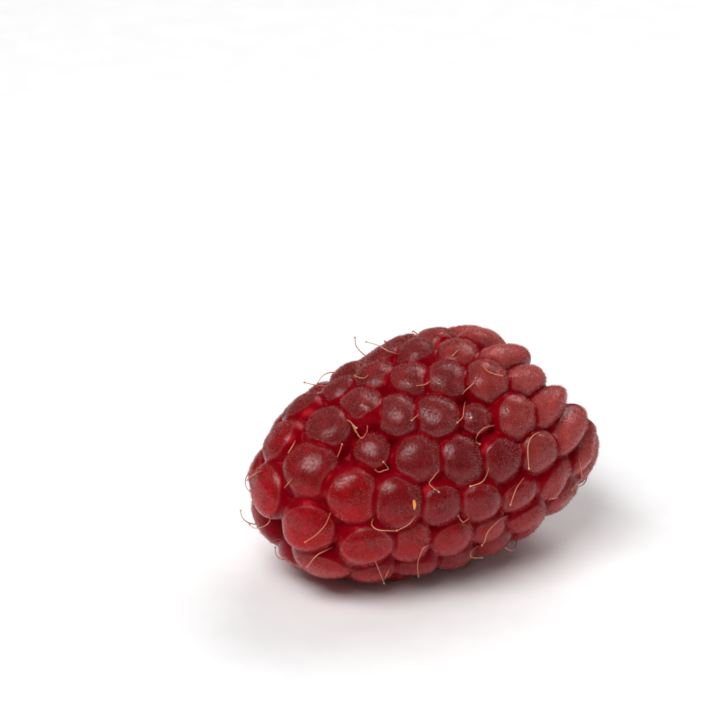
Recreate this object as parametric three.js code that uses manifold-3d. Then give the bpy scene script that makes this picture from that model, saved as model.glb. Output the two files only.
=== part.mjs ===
// A raspberry, picked and lying on its side: drupelets grown together round an open hollow.
// Millimetres, +Z up. The tip points towards -X, and the open mouth towards +X.
import * as THREE from "three";
import { mergeVertices } from "three/addons/utils/BufferGeometryUtils.js";
import Module from "manifold-3d";

const radians = THREE.MathUtils.degToRad;

// Driving dimensions. A "share" is a place on the berry's middle line: 0 at the tip, 1 at the mouth.
const LENGTH = 25.2; // of the middle line
const LEAN = radians(11.1); // climb of the middle line from the tip to the mouth
const BEND = radians(26.8); // how much steeper the middle line is at the mouth than at the tip
const GIRTH = 7.27; // radius of the skin that the drupelets' centres lie on, where it is widest
const WIDEST = 0.62; // share of the widest place
const TIP_FULLNESS = 2.25; // exponent of the oval from the tip to the widest place: 2 is an ellipse
const MOUTH_FULLNESS = 2.06; // and of the oval from there to the mouth
const MOUTH_SLANT = 0.36; // how far the lower side runs on past the upper one, over the radius

// Rings of drupelets from the tip to the rim, before they settle against each other.
const WHORLS = [
  { share: 0.012, count: 1, turn: 0 },
  { share: 0.092, count: 7, turn: 32.5 },
  { share: 0.18, count: 9, turn: 17.5 },
  { share: 0.305, count: 12, turn: 13.5 },
  { share: 0.432, count: 13, turn: 25.4 },
  { share: 0.557, count: 14, turn: 32.2 },
  { share: 0.667, count: 14, turn: 16.1 },
  { share: 0.771, count: 14, turn: 56.2 },
  { share: 0.87, count: 15, turn: 17.4 },
];
const RIM = WHORLS.length - 1; // the last ring holds its place on the rim

const TIP_WIDTH = 4.4; // room that a drupelet takes at the tip
const SIDE_WIDTH = 3.66; // and from SIDE_SHARE on
const SIDE_SHARE = 0.35;
const CROWDING = 1.04; // drupelets closer than this many widths push each other away
const PUSH = 0.25; // share of an overlap that one round of settling takes away
const ROUNDS = 24;
const SHARE_LIMITS = [0.004, 0.9]; // a drupelet settles between these

const NEIGHBOURS = 5; // a drupelet's radius follows the distance to its nearest ones
const RADIUS_PER_DISTANCE = 0.53;
const RADIUS_LIMITS = [1.6, 2.35];
const DOME_HEIGHT = 2.0; // from a drupelet's centre to its top
const RIM_REACH = 2.5; // half length of a rim drupelet, from the side over into the mouth
const RIM_SPREAD = 0.56; // half width of a rim drupelet, over the distance to the next
const SIZE_CHANCE = 0.05; // a drupelet is up to this much larger or smaller than its room
const SEED = 7;

// Drupelets that never swelled: their ring, their place in it and their share of the usual size.
const STUNTED = [
  { whorl: 3, place: 1, size: 0.7 },
  { whorl: 6, place: 1, size: 0.72 },
  { whorl: 5, place: 9, size: 0.75 },
];

// One drupelet before it is scaled: a blunt cone at the foot and a dome in DOME_STEPS bands.
const FOOT_DEPTH = 1.15;
const FOOT_RADIUS = 0.5;
const DOME_STEPS = 3;
const DRUPELET_SIDES = 8;

// The wall that the drupelets stand out of, and the hollow that the core of the fruit has left.
const WALL_RISE = 0.3; // from the skin of the drupelets' centres up to the wall
const WALL_SHARES = [0.03, 0.86];
const WALL_STEPS = 8;
const HOLLOW_SHARE = 0.27; // share of its rounded end
const HOLLOW_END_RADIUS = 2.6;
const HOLLOW_MOUTH_RADIUS = 4.5;
const HOLLOW_OUT = 1.4; // share to which the cutting shape runs out past the mouth
const HOLLOW_STEPS = 4;
const RING_SIDES = 20;

const SEAT_DEPTH = 0.4; // how far the berry's weight presses its lowest drupelets flat
const FLESH = new THREE.MeshStandardMaterial({ color: 0x8c2430, roughness: 0.45, metalness: 0 });

const wasm = await Module();
wasm.setup();

/** Draws numbers from 0 to 1 that are the same on every run. */
function seededDraw(seed) {
  let state = seed;
  return () => {
    state = (state * 1664525 + 1013904223) % 4294967296;
    return state / 4294967296;
  };
}

/** Radius of the skin of the drupelets' centres at a share of the middle line. */
function skinRadius(share) {
  const tipward = share < WIDEST;
  const away = tipward ? 1 - share / WIDEST : (share - WIDEST) / (1 - WIDEST);
  const fullness = tipward ? TIP_FULLNESS : MOUTH_FULLNESS;
  const clamped = Math.min(Math.max(away, 0), 0.9999);
  return GIRTH * Math.pow(1 - Math.pow(clamped, fullness), 1 / fullness);
}

/** The middle line at a share: its point, its direction and its upward normal. It is an arc. */
function middleLine(share) {
  const start = LEAN - BEND / 2;
  const angle = start + BEND * share;
  const arcRadius = LENGTH / BEND;
  return {
    point: new THREE.Vector3(
      arcRadius * (Math.sin(angle) - Math.sin(start)),
      0,
      arcRadius * (Math.cos(start) - Math.cos(angle)),
    ),
    forward: new THREE.Vector3(Math.cos(angle), 0, Math.sin(angle)),
    upward: new THREE.Vector3(-Math.sin(angle), 0, Math.cos(angle)),
  };
}

/** The point at a share, a height above the middle line and a distance towards -Y. */
function bodyPoint(share, height, aside) {
  const { point, forward, upward } = middleLine(share);
  return point
    .addScaledVector(forward, -MOUTH_SLANT * share * share * height)
    .addScaledVector(upward, height)
    .add(new THREE.Vector3(0, -aside, 0));
}

/** The point of the skin at a share and a turn round the middle line, counted from its top. */
function skinPoint(share, turn) {
  const radius = skinRadius(share);
  return bodyPoint(share, radius * Math.cos(turn), radius * Math.sin(turn));
}

/** A place on the skin with its three directions, and the millimetres that one share is there. */
function skinFrame(share, turn) {
  const step = 1e-3;
  const { point: centre, upward } = middleLine(share);
  const point = skinPoint(share, turn);
  const ahead = Math.min(share + step, 1);
  const behind = Math.max(share - step, 0);
  const slope = skinPoint(ahead, turn).sub(skinPoint(behind, turn)).divideScalar(ahead - behind);
  const around = upward.multiplyScalar(-Math.sin(turn)).add(new THREE.Vector3(0, -Math.cos(turn), 0));
  const out = new THREE.Vector3().crossVectors(around, slope).normalize();
  if (out.dot(point.clone().sub(centre)) < 0) out.negate();
  const along = new THREE.Vector3().crossVectors(out, around);
  return { point, around, along, out, stretch: slope.length() };
}

/** Room that a drupelet takes at a share. */
function roomAt(share) {
  return THREE.MathUtils.lerp(TIP_WIDTH, SIDE_WIDTH, Math.min(share / SIDE_SHARE, 1));
}

/** The drupelets in their rings, evenly spread. */
function ringedSites() {
  return WHORLS.flatMap(({ share, count, turn }, whorl) =>
    Array.from({ length: count }, (_, place) => ({
      whorl,
      place,
      share,
      turn: radians(turn + (360 * place) / count),
    })),
  );
}

/** One round of settling: drupelets that crowd each other move apart over the skin. */
function settleOnce(sites) {
  const frames = sites.map(({ share, turn }) => skinFrame(share, turn));
  const pushes = sites.map(() => new THREE.Vector3());
  sites.forEach((site, i) => {
    for (let j = i + 1; j < sites.length; j += 1) {
      const apart = frames[i].point.clone().sub(frames[j].point);
      const room = (CROWDING * (roomAt(site.share) + roomAt(sites[j].share))) / 2;
      const overlap = room - apart.length();
      if (overlap > 0) {
        apart.setLength(PUSH * overlap);
        pushes[i].add(apart);
        pushes[j].sub(apart);
      }
    }
  });
  sites.forEach((site, i) => {
    if (site.whorl === RIM) return;
    const { around, along, stretch } = frames[i];
    site.turn += pushes[i].dot(around) / Math.max(skinRadius(site.share), 1);
    site.share += pushes[i].dot(along) / stretch;
    site.share = THREE.MathUtils.clamp(site.share, ...SHARE_LIMITS);
  });
}

/** Mean distance from one drupelet's place to its nearest neighbours. */
function nearDistance(frames, { point }) {
  const distances = frames.map((other) => other.point.distanceTo(point)).sort((a, b) => a - b);
  return distances.slice(1, NEIGHBOURS + 1).reduce((sum, distance) => sum + distance, 0) / NEIGHBOURS;
}

/** Half sizes of each drupelet: around the berry, out of it and along it. */
function drupeletSizes(sites, frames) {
  const draw = seededDraw(SEED);
  return sites.map(({ whorl, place, share }, i) => {
    const stunted = STUNTED.find((one) => one.whorl === whorl && one.place === place);
    const growth = (1 + SIZE_CHANCE * (2 * draw() - 1)) * (stunted?.size ?? 1);
    const roomy = RADIUS_PER_DISTANCE * nearDistance(frames, frames[i]);
    const radius = THREE.MathUtils.clamp(roomy, ...RADIUS_LIMITS);
    const rimRadius = (RIM_SPREAD * 2 * Math.PI * skinRadius(share)) / WHORLS[RIM].count;
    const halves = whorl === RIM ? [rimRadius, DOME_HEIGHT, RIM_REACH] : [radius, DOME_HEIGHT, radius];
    return new THREE.Vector3(...halves).multiplyScalar(growth);
  });
}

/** A closed geometry as a solid that can be joined and cut. */
function solidOf(geometry) {
  const bare = geometry.clone();
  bare.deleteAttribute("normal");
  bare.deleteAttribute("uv");
  const merged = mergeVertices(bare, 1e-4);
  const corners = [];
  for (let i = 0; i < merged.index.count; i += 3) {
    const [a, b, c] = merged.index.array.slice(i, i + 3);
    if (a !== b && b !== c && c !== a) corners.push(a, b, c);
  }
  const vertProperties = merged.attributes.position.array;
  return new wasm.Manifold(
    new wasm.Mesh({ numProp: 3, vertProperties, triVerts: Uint32Array.from(corners) }),
  );
}

/** One drupelet: a round dome on a foot that narrows towards the hollow. +Y is outward. */
function drupeletGeometry() {
  const profile = [new THREE.Vector2(0, -FOOT_DEPTH), new THREE.Vector2(FOOT_RADIUS, -FOOT_DEPTH)];
  for (let step = 0; step < DOME_STEPS; step += 1) {
    const angle = ((Math.PI / 2) * step) / DOME_STEPS;
    profile.push(new THREE.Vector2(Math.cos(angle), Math.sin(angle)));
  }
  profile.push(new THREE.Vector2(0, 1));
  return new THREE.LatheGeometry(profile, DRUPELET_SIDES);
}

/** A drupelet's solid at its place on the berry. */
function drupeletSolid({ point, around, along, out }, size) {
  const placed = new THREE.Matrix4()
    .makeBasis(around, out, along.clone().negate())
    .setPosition(point)
    .scale(size);
  return solidOf(drupeletGeometry().applyMatrix4(placed));
}

/** A body turned round the straight middle line, then bent along the real one. */
function bentSolid(profile) {
  const points = profile.map(({ share, radius }) => new THREE.Vector2(radius, share));
  const geometry = new THREE.LatheGeometry(points, RING_SIDES);
  const position = geometry.getAttribute("position");
  for (let i = 0; i < position.count; i += 1) {
    const bent = bodyPoint(position.getY(i), position.getX(i), -position.getZ(i));
    position.setXYZ(i, bent.x, bent.y, bent.z);
  }
  return solidOf(geometry);
}

/** Evenly spaced numbers from low to high, both included. */
function spread(low, high, steps) {
  return Array.from({ length: steps + 1 }, (_, i) => low + ((high - low) * i) / steps);
}

/** The wall under the drupelets, still without its hollow. */
function wallSolid() {
  const rings = spread(...WALL_SHARES, WALL_STEPS).map((share) => ({
    share,
    radius: skinRadius(share) + WALL_RISE,
  }));
  const ends = WALL_SHARES.map((share) => ({ share, radius: 0 }));
  return bentSolid([ends[0], ...rings, ends[1]]);
}

/** The hollow: a round end, then a cone that opens to the mouth and out past it. */
function hollowSolid() {
  const endLength = HOLLOW_END_RADIUS / LENGTH;
  const end = spread(0, Math.PI / 2, HOLLOW_STEPS).map((angle) => ({
    share: HOLLOW_SHARE + endLength * (1 - Math.cos(angle)),
    radius: HOLLOW_END_RADIUS * Math.sin(angle),
  }));
  const mouth = { share: 1, radius: HOLLOW_MOUTH_RADIUS };
  const outside = { share: HOLLOW_OUT, radius: HOLLOW_MOUTH_RADIUS };
  return bentSolid([...end, mouth, outside, { share: HOLLOW_OUT, radius: 0 }]);
}

/** The largest body of a solid: loose scraps go, and pockets closed in by the joining are filled. */
function largestBody(solid) {
  return solid.decompose().reduce((best, body) => (body.volume() > best.volume() ? body : best));
}

/** A solid as a three.js geometry. */
function geometryOf(solid) {
  const { vertProperties, triVerts } = solid.getMesh();
  return new THREE.BufferGeometry()
    .setAttribute("position", new THREE.BufferAttribute(vertProperties, 3))
    .setIndex(new THREE.BufferAttribute(triVerts, 1));
}

/** The box round a geometry. */
function boxOf(geometry) {
  return new THREE.Box3().setFromBufferAttribute(geometry.getAttribute("position"));
}

/** A solid pressed flat where it meets the ground, SEAT_DEPTH above its lowest point. */
function seated(solid) {
  const side = 4 * LENGTH;
  const ground = boxOf(geometryOf(solid)).min.z + SEAT_DEPTH;
  const below = new THREE.BoxGeometry(side, side, side).translate(0, 0, ground - side / 2);
  return solid.subtract(solidOf(below));
}

/** The whole berry as one solid: the rim's drupelets curl over into the hollow, the rest end at it. */
function berrySolid() {
  const sites = ringedSites();
  for (let round = 0; round < ROUNDS; round += 1) settleOnce(sites);
  const frames = sites.map(({ share, turn }) => skinFrame(share, turn));
  const sizes = drupeletSizes(sites, frames);
  const join = (start, isRim) =>
    sites.reduce(
      (sum, { whorl }, i) =>
        (whorl === RIM) === isRim ? sum.add(drupeletSolid(frames[i], sizes[i])) : sum,
      start,
    );
  const open = join(wallSolid(), false).subtract(hollowSolid());
  return largestBody(seated(join(open, true)));
}

/** The berry's geometry on the ground, with its box centred over the origin. */
function berryGeometry() {
  const geometry = geometryOf(berrySolid());
  const { min } = boxOf(geometry);
  const centre = boxOf(geometry).getCenter(new THREE.Vector3());
  return geometry.translate(-centre.x, -centre.y, -min.z);
}

const raspberry = new THREE.Mesh(berryGeometry(), FLESH);
raspberry.name = "raspberry";

const berry = new THREE.Group();
berry.add(raspberry);
export default berry;
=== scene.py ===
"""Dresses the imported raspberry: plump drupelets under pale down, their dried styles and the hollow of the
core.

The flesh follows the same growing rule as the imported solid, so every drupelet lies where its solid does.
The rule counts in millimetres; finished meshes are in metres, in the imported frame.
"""

import logging
import math
from dataclasses import dataclass, field
from enum import Enum

import bpy
import numpy as np
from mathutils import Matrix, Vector
from mathutils.bvhtree import BVHTree


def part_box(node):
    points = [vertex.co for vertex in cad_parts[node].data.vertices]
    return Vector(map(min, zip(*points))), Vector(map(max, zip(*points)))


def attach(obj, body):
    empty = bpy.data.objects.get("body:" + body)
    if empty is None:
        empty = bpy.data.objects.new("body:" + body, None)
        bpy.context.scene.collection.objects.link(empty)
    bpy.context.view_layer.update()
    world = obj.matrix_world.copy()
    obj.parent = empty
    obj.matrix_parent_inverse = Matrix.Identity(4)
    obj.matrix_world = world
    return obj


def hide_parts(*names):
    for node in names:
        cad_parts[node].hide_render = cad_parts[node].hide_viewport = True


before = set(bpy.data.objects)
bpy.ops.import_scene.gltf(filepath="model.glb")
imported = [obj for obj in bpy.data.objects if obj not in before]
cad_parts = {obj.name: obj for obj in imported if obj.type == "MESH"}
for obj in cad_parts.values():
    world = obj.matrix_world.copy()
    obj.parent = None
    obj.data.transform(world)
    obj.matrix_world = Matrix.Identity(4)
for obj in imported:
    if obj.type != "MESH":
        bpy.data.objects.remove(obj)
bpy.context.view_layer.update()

log = logging.getLogger("raspberry")

Colour = tuple[float, float, float, float]
Ramp = tuple[float, float, float, float]  # two ends of a range, and the results at them
Span = tuple[float, float]
Socket = bpy.types.NodeSocket

METRES = 1e-3  # one millimetre
TINY = 1e-9  # keeps divisions from zero
NODE = "raspberry"
BODY = "root"
LIT_POINT = (0.0, 0.0, 0.0084)  # metres: where the lights shine at


class Slot(Enum):
    """The record's material slots."""

    SKIN = "berry_skin"
    STYLE = "dried_style"
    FLESH = "inner_flesh"


@dataclass(frozen=True)
class Ring:
    """A ring of drupelets before it settles: its share of the middle line, its count, its turn in degrees."""

    share: float
    count: int
    turn: float


@dataclass(frozen=True)
class Stunted:
    """A drupelet that never swelled: its ring, its place there and its share of the usual size."""

    ring: int
    place: int
    size: float


def lengths(vectors: np.ndarray) -> np.ndarray:
    """Lengths of vectors along the last axis, kept as an axis of one."""
    return np.linalg.norm(vectors, axis=-1, keepdims=True)


def smooth(values: np.ndarray, low: float, high: float) -> np.ndarray:
    """A soft step that is 0 up to low and 1 from high on."""
    t = np.clip((values - low) / (high - low), 0.0, 1.0)
    return t * t * (3.0 - 2.0 * t)


def between(ends: Span, share: float) -> float:
    """The number that lies at a share of the way from one end to the other."""
    return ends[0] + (ends[1] - ends[0]) * share


def varied(least_and_spread: Span, draw: float) -> float:
    """The least value, with the part of the spread that a draw from 0 to 1 gives."""
    return least_and_spread[0] + least_and_spread[1] * draw


def bearing(azimuth: float, elevation: float) -> Vector:
    """The direction from the berry to a place seen at an azimuth from -Y and an elevation, in degrees."""
    turn, rise = math.radians(azimuth), math.radians(elevation)
    return Vector((math.sin(turn) * math.cos(rise), -math.cos(turn) * math.cos(rise), math.sin(rise)))


@dataclass(frozen=True)
class BodyLine:
    """The bent middle line and the skin round it. A share of it is 0 at the tip and 1 at the mouth."""

    length: float = 25.2
    lean: float = math.radians(11.1)
    bend: float = math.radians(26.8)
    girth: float = 7.27
    widest: float = 0.62
    tip_fullness: float = 2.25
    mouth_fullness: float = 2.06
    mouth_slant: float = 0.36
    last: float = 0.9999  # how near to an end the radius is still worked out
    rounds: int = 5  # of unslanting a place

    @property
    def start(self) -> float:
        """Slope of the middle line at the tip."""
        return self.lean - self.bend / 2

    @property
    def arc_radius(self) -> float:
        """Radius of the arc that the middle line follows."""
        return self.length / self.bend

    def radius(self, share: np.ndarray) -> np.ndarray:
        """Radius of the skin that the drupelets' centres lie on.

        Args:
            share: places on the middle line.

        Returns:
            The radius at each place.
        """
        tipward = share < self.widest
        away = np.where(tipward, 1 - share / self.widest, (share - self.widest) / (1 - self.widest))
        full = np.where(tipward, self.tip_fullness, self.mouth_fullness)
        away = np.clip(away, 0.0, self.last)
        return self.girth * (1 - away**full) ** (1 / full)

    def line(self, share: np.ndarray) -> tuple[np.ndarray, np.ndarray, np.ndarray]:
        """The middle line.

        Args:
            share: places on it.

        Returns:
            Its points, its directions and its upward normals.
        """
        angle = self.start + self.bend * share
        flat = np.zeros_like(angle)
        point = np.stack(
            [
                self.arc_radius * (np.sin(angle) - math.sin(self.start)),
                flat,
                self.arc_radius * (math.cos(self.start) - np.cos(angle)),
            ],
            -1,
        )
        forward = np.stack([np.cos(angle), flat, np.sin(angle)], -1)
        upward = np.stack([-np.sin(angle), flat, np.cos(angle)], -1)
        return point, forward, upward

    def body_point(self, share: np.ndarray, height: np.ndarray, aside: np.ndarray) -> np.ndarray:
        """Points at a share, a height above the middle line and a distance towards -Y.

        Args:
            share: places on the middle line.
            height: heights above it.
            aside: distances from it towards -Y.

        Returns:
            The points.
        """
        point, forward, upward = self.line(share)
        point = point - (self.mouth_slant * share**2 * height)[..., None] * forward
        point = point + height[..., None] * upward
        point[..., 1] -= aside
        return point

    def skin_point(self, share: np.ndarray, turn: np.ndarray) -> np.ndarray:
        """Points of the skin at a share and a turn round the middle line, counted from its top.

        Args:
            share: places on the middle line.
            turn: angles round it.

        Returns:
            The points.
        """
        radius = self.radius(share)
        return self.body_point(share, radius * np.cos(turn), radius * np.sin(turn))

    def unbend(self, points: np.ndarray) -> tuple[np.ndarray, np.ndarray, np.ndarray]:
        """The share, height and sideways distance of points, the reverse of body_point.

        Args:
            points: points in the middle line's own frame.

        Returns:
            Their shares, heights and distances towards -Y.
        """
        centre_x = -self.arc_radius * math.sin(self.start)
        centre_z = self.arc_radius * math.cos(self.start)
        x, z = points[..., 0].copy(), points[..., 2].copy()
        for _ in range(self.rounds):
            angle = np.arctan2(x - centre_x, centre_z - z)
            share = (angle - self.start) / self.bend
            height = self.arc_radius - np.hypot(x - centre_x, centre_z - z)
            slide = self.mouth_slant * share**2 * height
            x = points[..., 0] + slide * np.cos(angle)
            z = points[..., 2] + slide * np.sin(angle)
        return share, height, -points[..., 1]


@dataclass
class Drupelets:
    """All drupelets: centres, directions around, out of and along the berry, and half sizes along those."""

    centre: np.ndarray
    around: np.ndarray
    out: np.ndarray
    along: np.ndarray
    half: np.ndarray
    ring: np.ndarray
    place: np.ndarray
    share: np.ndarray
    turn: np.ndarray

    @property
    def axes(self) -> np.ndarray:
        """The three directions of each drupelet as rows."""
        return np.stack([self.around, self.out, self.along], 1)

    def __len__(self) -> int:
        """How many drupelets there are."""
        return len(self.centre)


@dataclass(frozen=True)
class GrowingRule:
    """Places the drupelets: rings on the skin that push each other apart until they have room."""

    line: BodyLine = BodyLine()
    rings: tuple[Ring, ...] = (
        Ring(0.012, 1, 0.0),
        Ring(0.092, 7, 32.5),
        Ring(0.18, 9, 17.5),
        Ring(0.305, 12, 13.5),
        Ring(0.432, 13, 25.4),
        Ring(0.557, 14, 32.2),
        Ring(0.667, 14, 16.1),
        Ring(0.771, 14, 56.2),
        Ring(0.87, 15, 17.4),
    )
    stunted: tuple[Stunted, ...] = (Stunted(3, 1, 0.7), Stunted(6, 1, 0.72), Stunted(5, 9, 0.75))
    tip_width: float = 4.4
    side_width: float = 3.66
    side_share: float = 0.35
    crowding: float = 1.04
    push: float = 0.25
    rounds: int = 24
    probe: float = 1e-3  # share on either side of a place over which the skin's slope is taken
    far: float = 1e9  # stands for a drupelet's distance from itself
    share_limits: Span = (0.004, 0.9)
    neighbours: int = 5
    radius_per_distance: float = 0.53
    radius_limits: Span = (1.6, 2.35)
    dome_height: float = 2.0
    rim_reach: float = 2.5
    rim_spread: float = 0.56
    size_chance: float = 0.05
    seed: int = 7
    stride: int = 1664525  # with the next two, how one chance number follows from another
    offset: int = 1013904223
    cycle: int = 4294967296
    seat_depth: float = 0.4
    foot_depth: float = 1.15
    foot_radius: float = 0.5
    dome_steps: int = 3
    sides: int = 8

    @property
    def rim(self) -> int:
        """Number of the last ring, which curls over the rim."""
        return len(self.rings) - 1

    def skin_frames(self, share: np.ndarray, turn: np.ndarray) -> tuple[np.ndarray, ...]:
        """Places on the skin with their directions.

        Args:
            share: places on the middle line.
            turn: angles round it.

        Returns:
            Points, directions around, along and out, and the millimetres that one share is there.
        """
        centre, _, upward = self.line.line(share)
        point = self.line.skin_point(share, turn)
        ahead = np.minimum(share + self.probe, 1.0)
        behind = np.maximum(share - self.probe, 0.0)
        slope = self.line.skin_point(ahead, turn) - self.line.skin_point(behind, turn)
        slope /= (ahead - behind)[:, None]
        around = -np.sin(turn)[:, None] * upward
        around[:, 1] -= np.cos(turn)
        out = np.cross(around, slope)
        out /= lengths(out)
        inward = np.sum(out * (point - centre), -1) < 0
        out[inward] *= -1
        return point, around, np.cross(out, around), out, lengths(slope)[:, 0]

    def room(self, share: np.ndarray) -> np.ndarray:
        """Room that a drupelet takes at each share."""
        return self.tip_width + (self.side_width - self.tip_width) * np.minimum(share / self.side_share, 1)

    def settled(self, ring: np.ndarray, share: np.ndarray, turn: np.ndarray) -> tuple[np.ndarray, np.ndarray]:
        """Moves drupelets that crowd each other apart over the skin.

        Args:
            ring: ring of each drupelet.
            share: its share of the middle line.
            turn: its angle round it.

        Returns:
            The settled shares and turns.
        """
        loose = ring != self.rim
        for _ in range(self.rounds):
            point, around, along, _, stretch = self.skin_frames(share, turn)
            apart = point[:, None] - point[None]
            distance = lengths(apart)[..., 0]
            np.fill_diagonal(distance, self.far)
            room = self.room(share)
            overlap = self.crowding * (room[:, None] + room[None]) / 2 - distance
            strength = np.where(overlap > 0, self.push * overlap / distance, 0.0)
            push = np.sum(apart * strength[..., None], 1)
            sideways = np.sum(push * around, -1) / np.maximum(self.line.radius(share), 1.0)
            lengthways = np.sum(push * along, -1) / stretch
            turn = np.where(loose, turn + sideways, turn)
            share = np.where(loose, np.clip(share + lengthways, *self.share_limits), share)
        return share, turn

    def growths(self, ring: np.ndarray, place: np.ndarray) -> np.ndarray:
        """How much larger or smaller than its room each drupelet has grown.

        Args:
            ring: ring of each drupelet.
            place: its place in the ring.

        Returns:
            A factor for each drupelet.
        """
        state = self.seed
        factors = []
        for own_ring, own_place in zip(ring, place):
            state = (state * self.stride + self.offset) % self.cycle
            factor = 1 + self.size_chance * (2 * state / self.cycle - 1)
            for one in self.stunted:
                factor *= one.size if (one.ring, one.place) == (own_ring, own_place) else 1.0
            factors.append(factor)
        return np.array(factors)

    def halves(self, ring: np.ndarray, place: np.ndarray, share: np.ndarray, point: np.ndarray) -> np.ndarray:
        """Half sizes of each drupelet: around the berry, out of it and along it.

        Args:
            ring: ring of each drupelet.
            place: its place in the ring.
            share: its share of the middle line.
            point: its centre.

        Returns:
            Three half sizes for each drupelet.
        """
        distance = np.sort(lengths(point[:, None] - point[None])[..., 0], axis=1)
        near = distance[:, 1 : self.neighbours + 1].mean(1)
        radius = np.clip(self.radius_per_distance * near, *self.radius_limits)
        spread = self.rim_spread * 2 * math.pi * self.line.radius(share) / self.rings[self.rim].count
        is_rim = ring == self.rim
        half = np.stack(
            [
                np.where(is_rim, spread, radius),
                np.full(len(ring), self.dome_height),
                np.where(is_rim, self.rim_reach, radius),
            ],
            -1,
        )
        return half * self.growths(ring, place)[:, None]

    def ground_shift(self, drupelets: Drupelets) -> np.ndarray:
        """What brings the rule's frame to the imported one: box centre over the origin, seat on the ground.

        Args:
            drupelets: the drupelets in the rule's frame.

        Returns:
            The shift in millimetres.
        """
        bands = np.arange(self.dome_steps) * (math.pi / 2) / self.dome_steps
        wide = np.concatenate([[self.foot_radius], np.cos(bands), [0.0]])
        high = np.concatenate([[-self.foot_depth], np.sin(bands), [1.0]])
        turns = np.arange(self.sides) * 2 * math.pi / self.sides
        shape = np.stack(
            [
                (wide[:, None] * np.sin(turns)).ravel(),
                np.repeat(high, self.sides),
                (-wide[:, None] * np.cos(turns)).ravel(),
            ],
            -1,
        )
        corners = np.einsum("vk,nk,nkx->nvx", shape, drupelets.half, drupelets.axes)
        corners = corners + drupelets.centre[:, None]
        low, high = corners.min((0, 1)), corners.max((0, 1))
        middle = (low + high) / 2
        return -np.array([middle[0], middle[1], low[2] + self.seat_depth])

    def grown(self) -> tuple[Drupelets, np.ndarray]:
        """Grows the drupelets.

        Returns:
            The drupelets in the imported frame, in millimetres, and the shift that brought them there.
        """
        ring = np.concatenate([np.full(one.count, i) for i, one in enumerate(self.rings)])
        place = np.concatenate([np.arange(one.count) for one in self.rings])
        share = np.concatenate([np.full(one.count, one.share) for one in self.rings])
        turn = np.concatenate(
            [np.radians(one.turn + 360 * np.arange(one.count) / one.count) for one in self.rings]
        )
        share, turn = self.settled(ring, share, turn)
        point, around, along, out, _ = self.skin_frames(share, turn)
        half = self.halves(ring, place, share, point)
        drupelets = Drupelets(point, around, out, along, half, ring, place, share, turn)
        shift = self.ground_shift(drupelets)
        drupelets.centre = drupelets.centre + shift
        return drupelets, shift


@dataclass(frozen=True)
class Hollow:
    """The hollow that the core has left: a round end, then a cone that opens to the mouth."""

    line: BodyLine
    end_share: float = 0.27
    end_radius: float = 2.6
    mouth_radius: float = 4.5

    @property
    def cone_share(self) -> float:
        """Share at which the round end turns into the cone."""
        return self.end_share + self.end_radius / self.line.length

    def radius(self, share: np.ndarray) -> np.ndarray:
        """Radius of the cone at a share."""
        t = np.clip((share - self.cone_share) / (1 - self.cone_share), 0.0, 1.0)
        return self.end_radius + (self.mouth_radius - self.end_radius) * t

    def distance(self, share: np.ndarray, height: np.ndarray, aside: np.ndarray) -> np.ndarray:
        """Distance from the hollow's wall, negative in the hollow.

        Args:
            share: places on the middle line.
            height: heights above it.
            aside: sideways distances from it.

        Returns:
            The distances.
        """
        before = np.maximum(self.cone_share - share, 0.0) * self.line.length
        return np.sqrt(height**2 + aside**2 + before**2) - self.radius(share)


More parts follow.
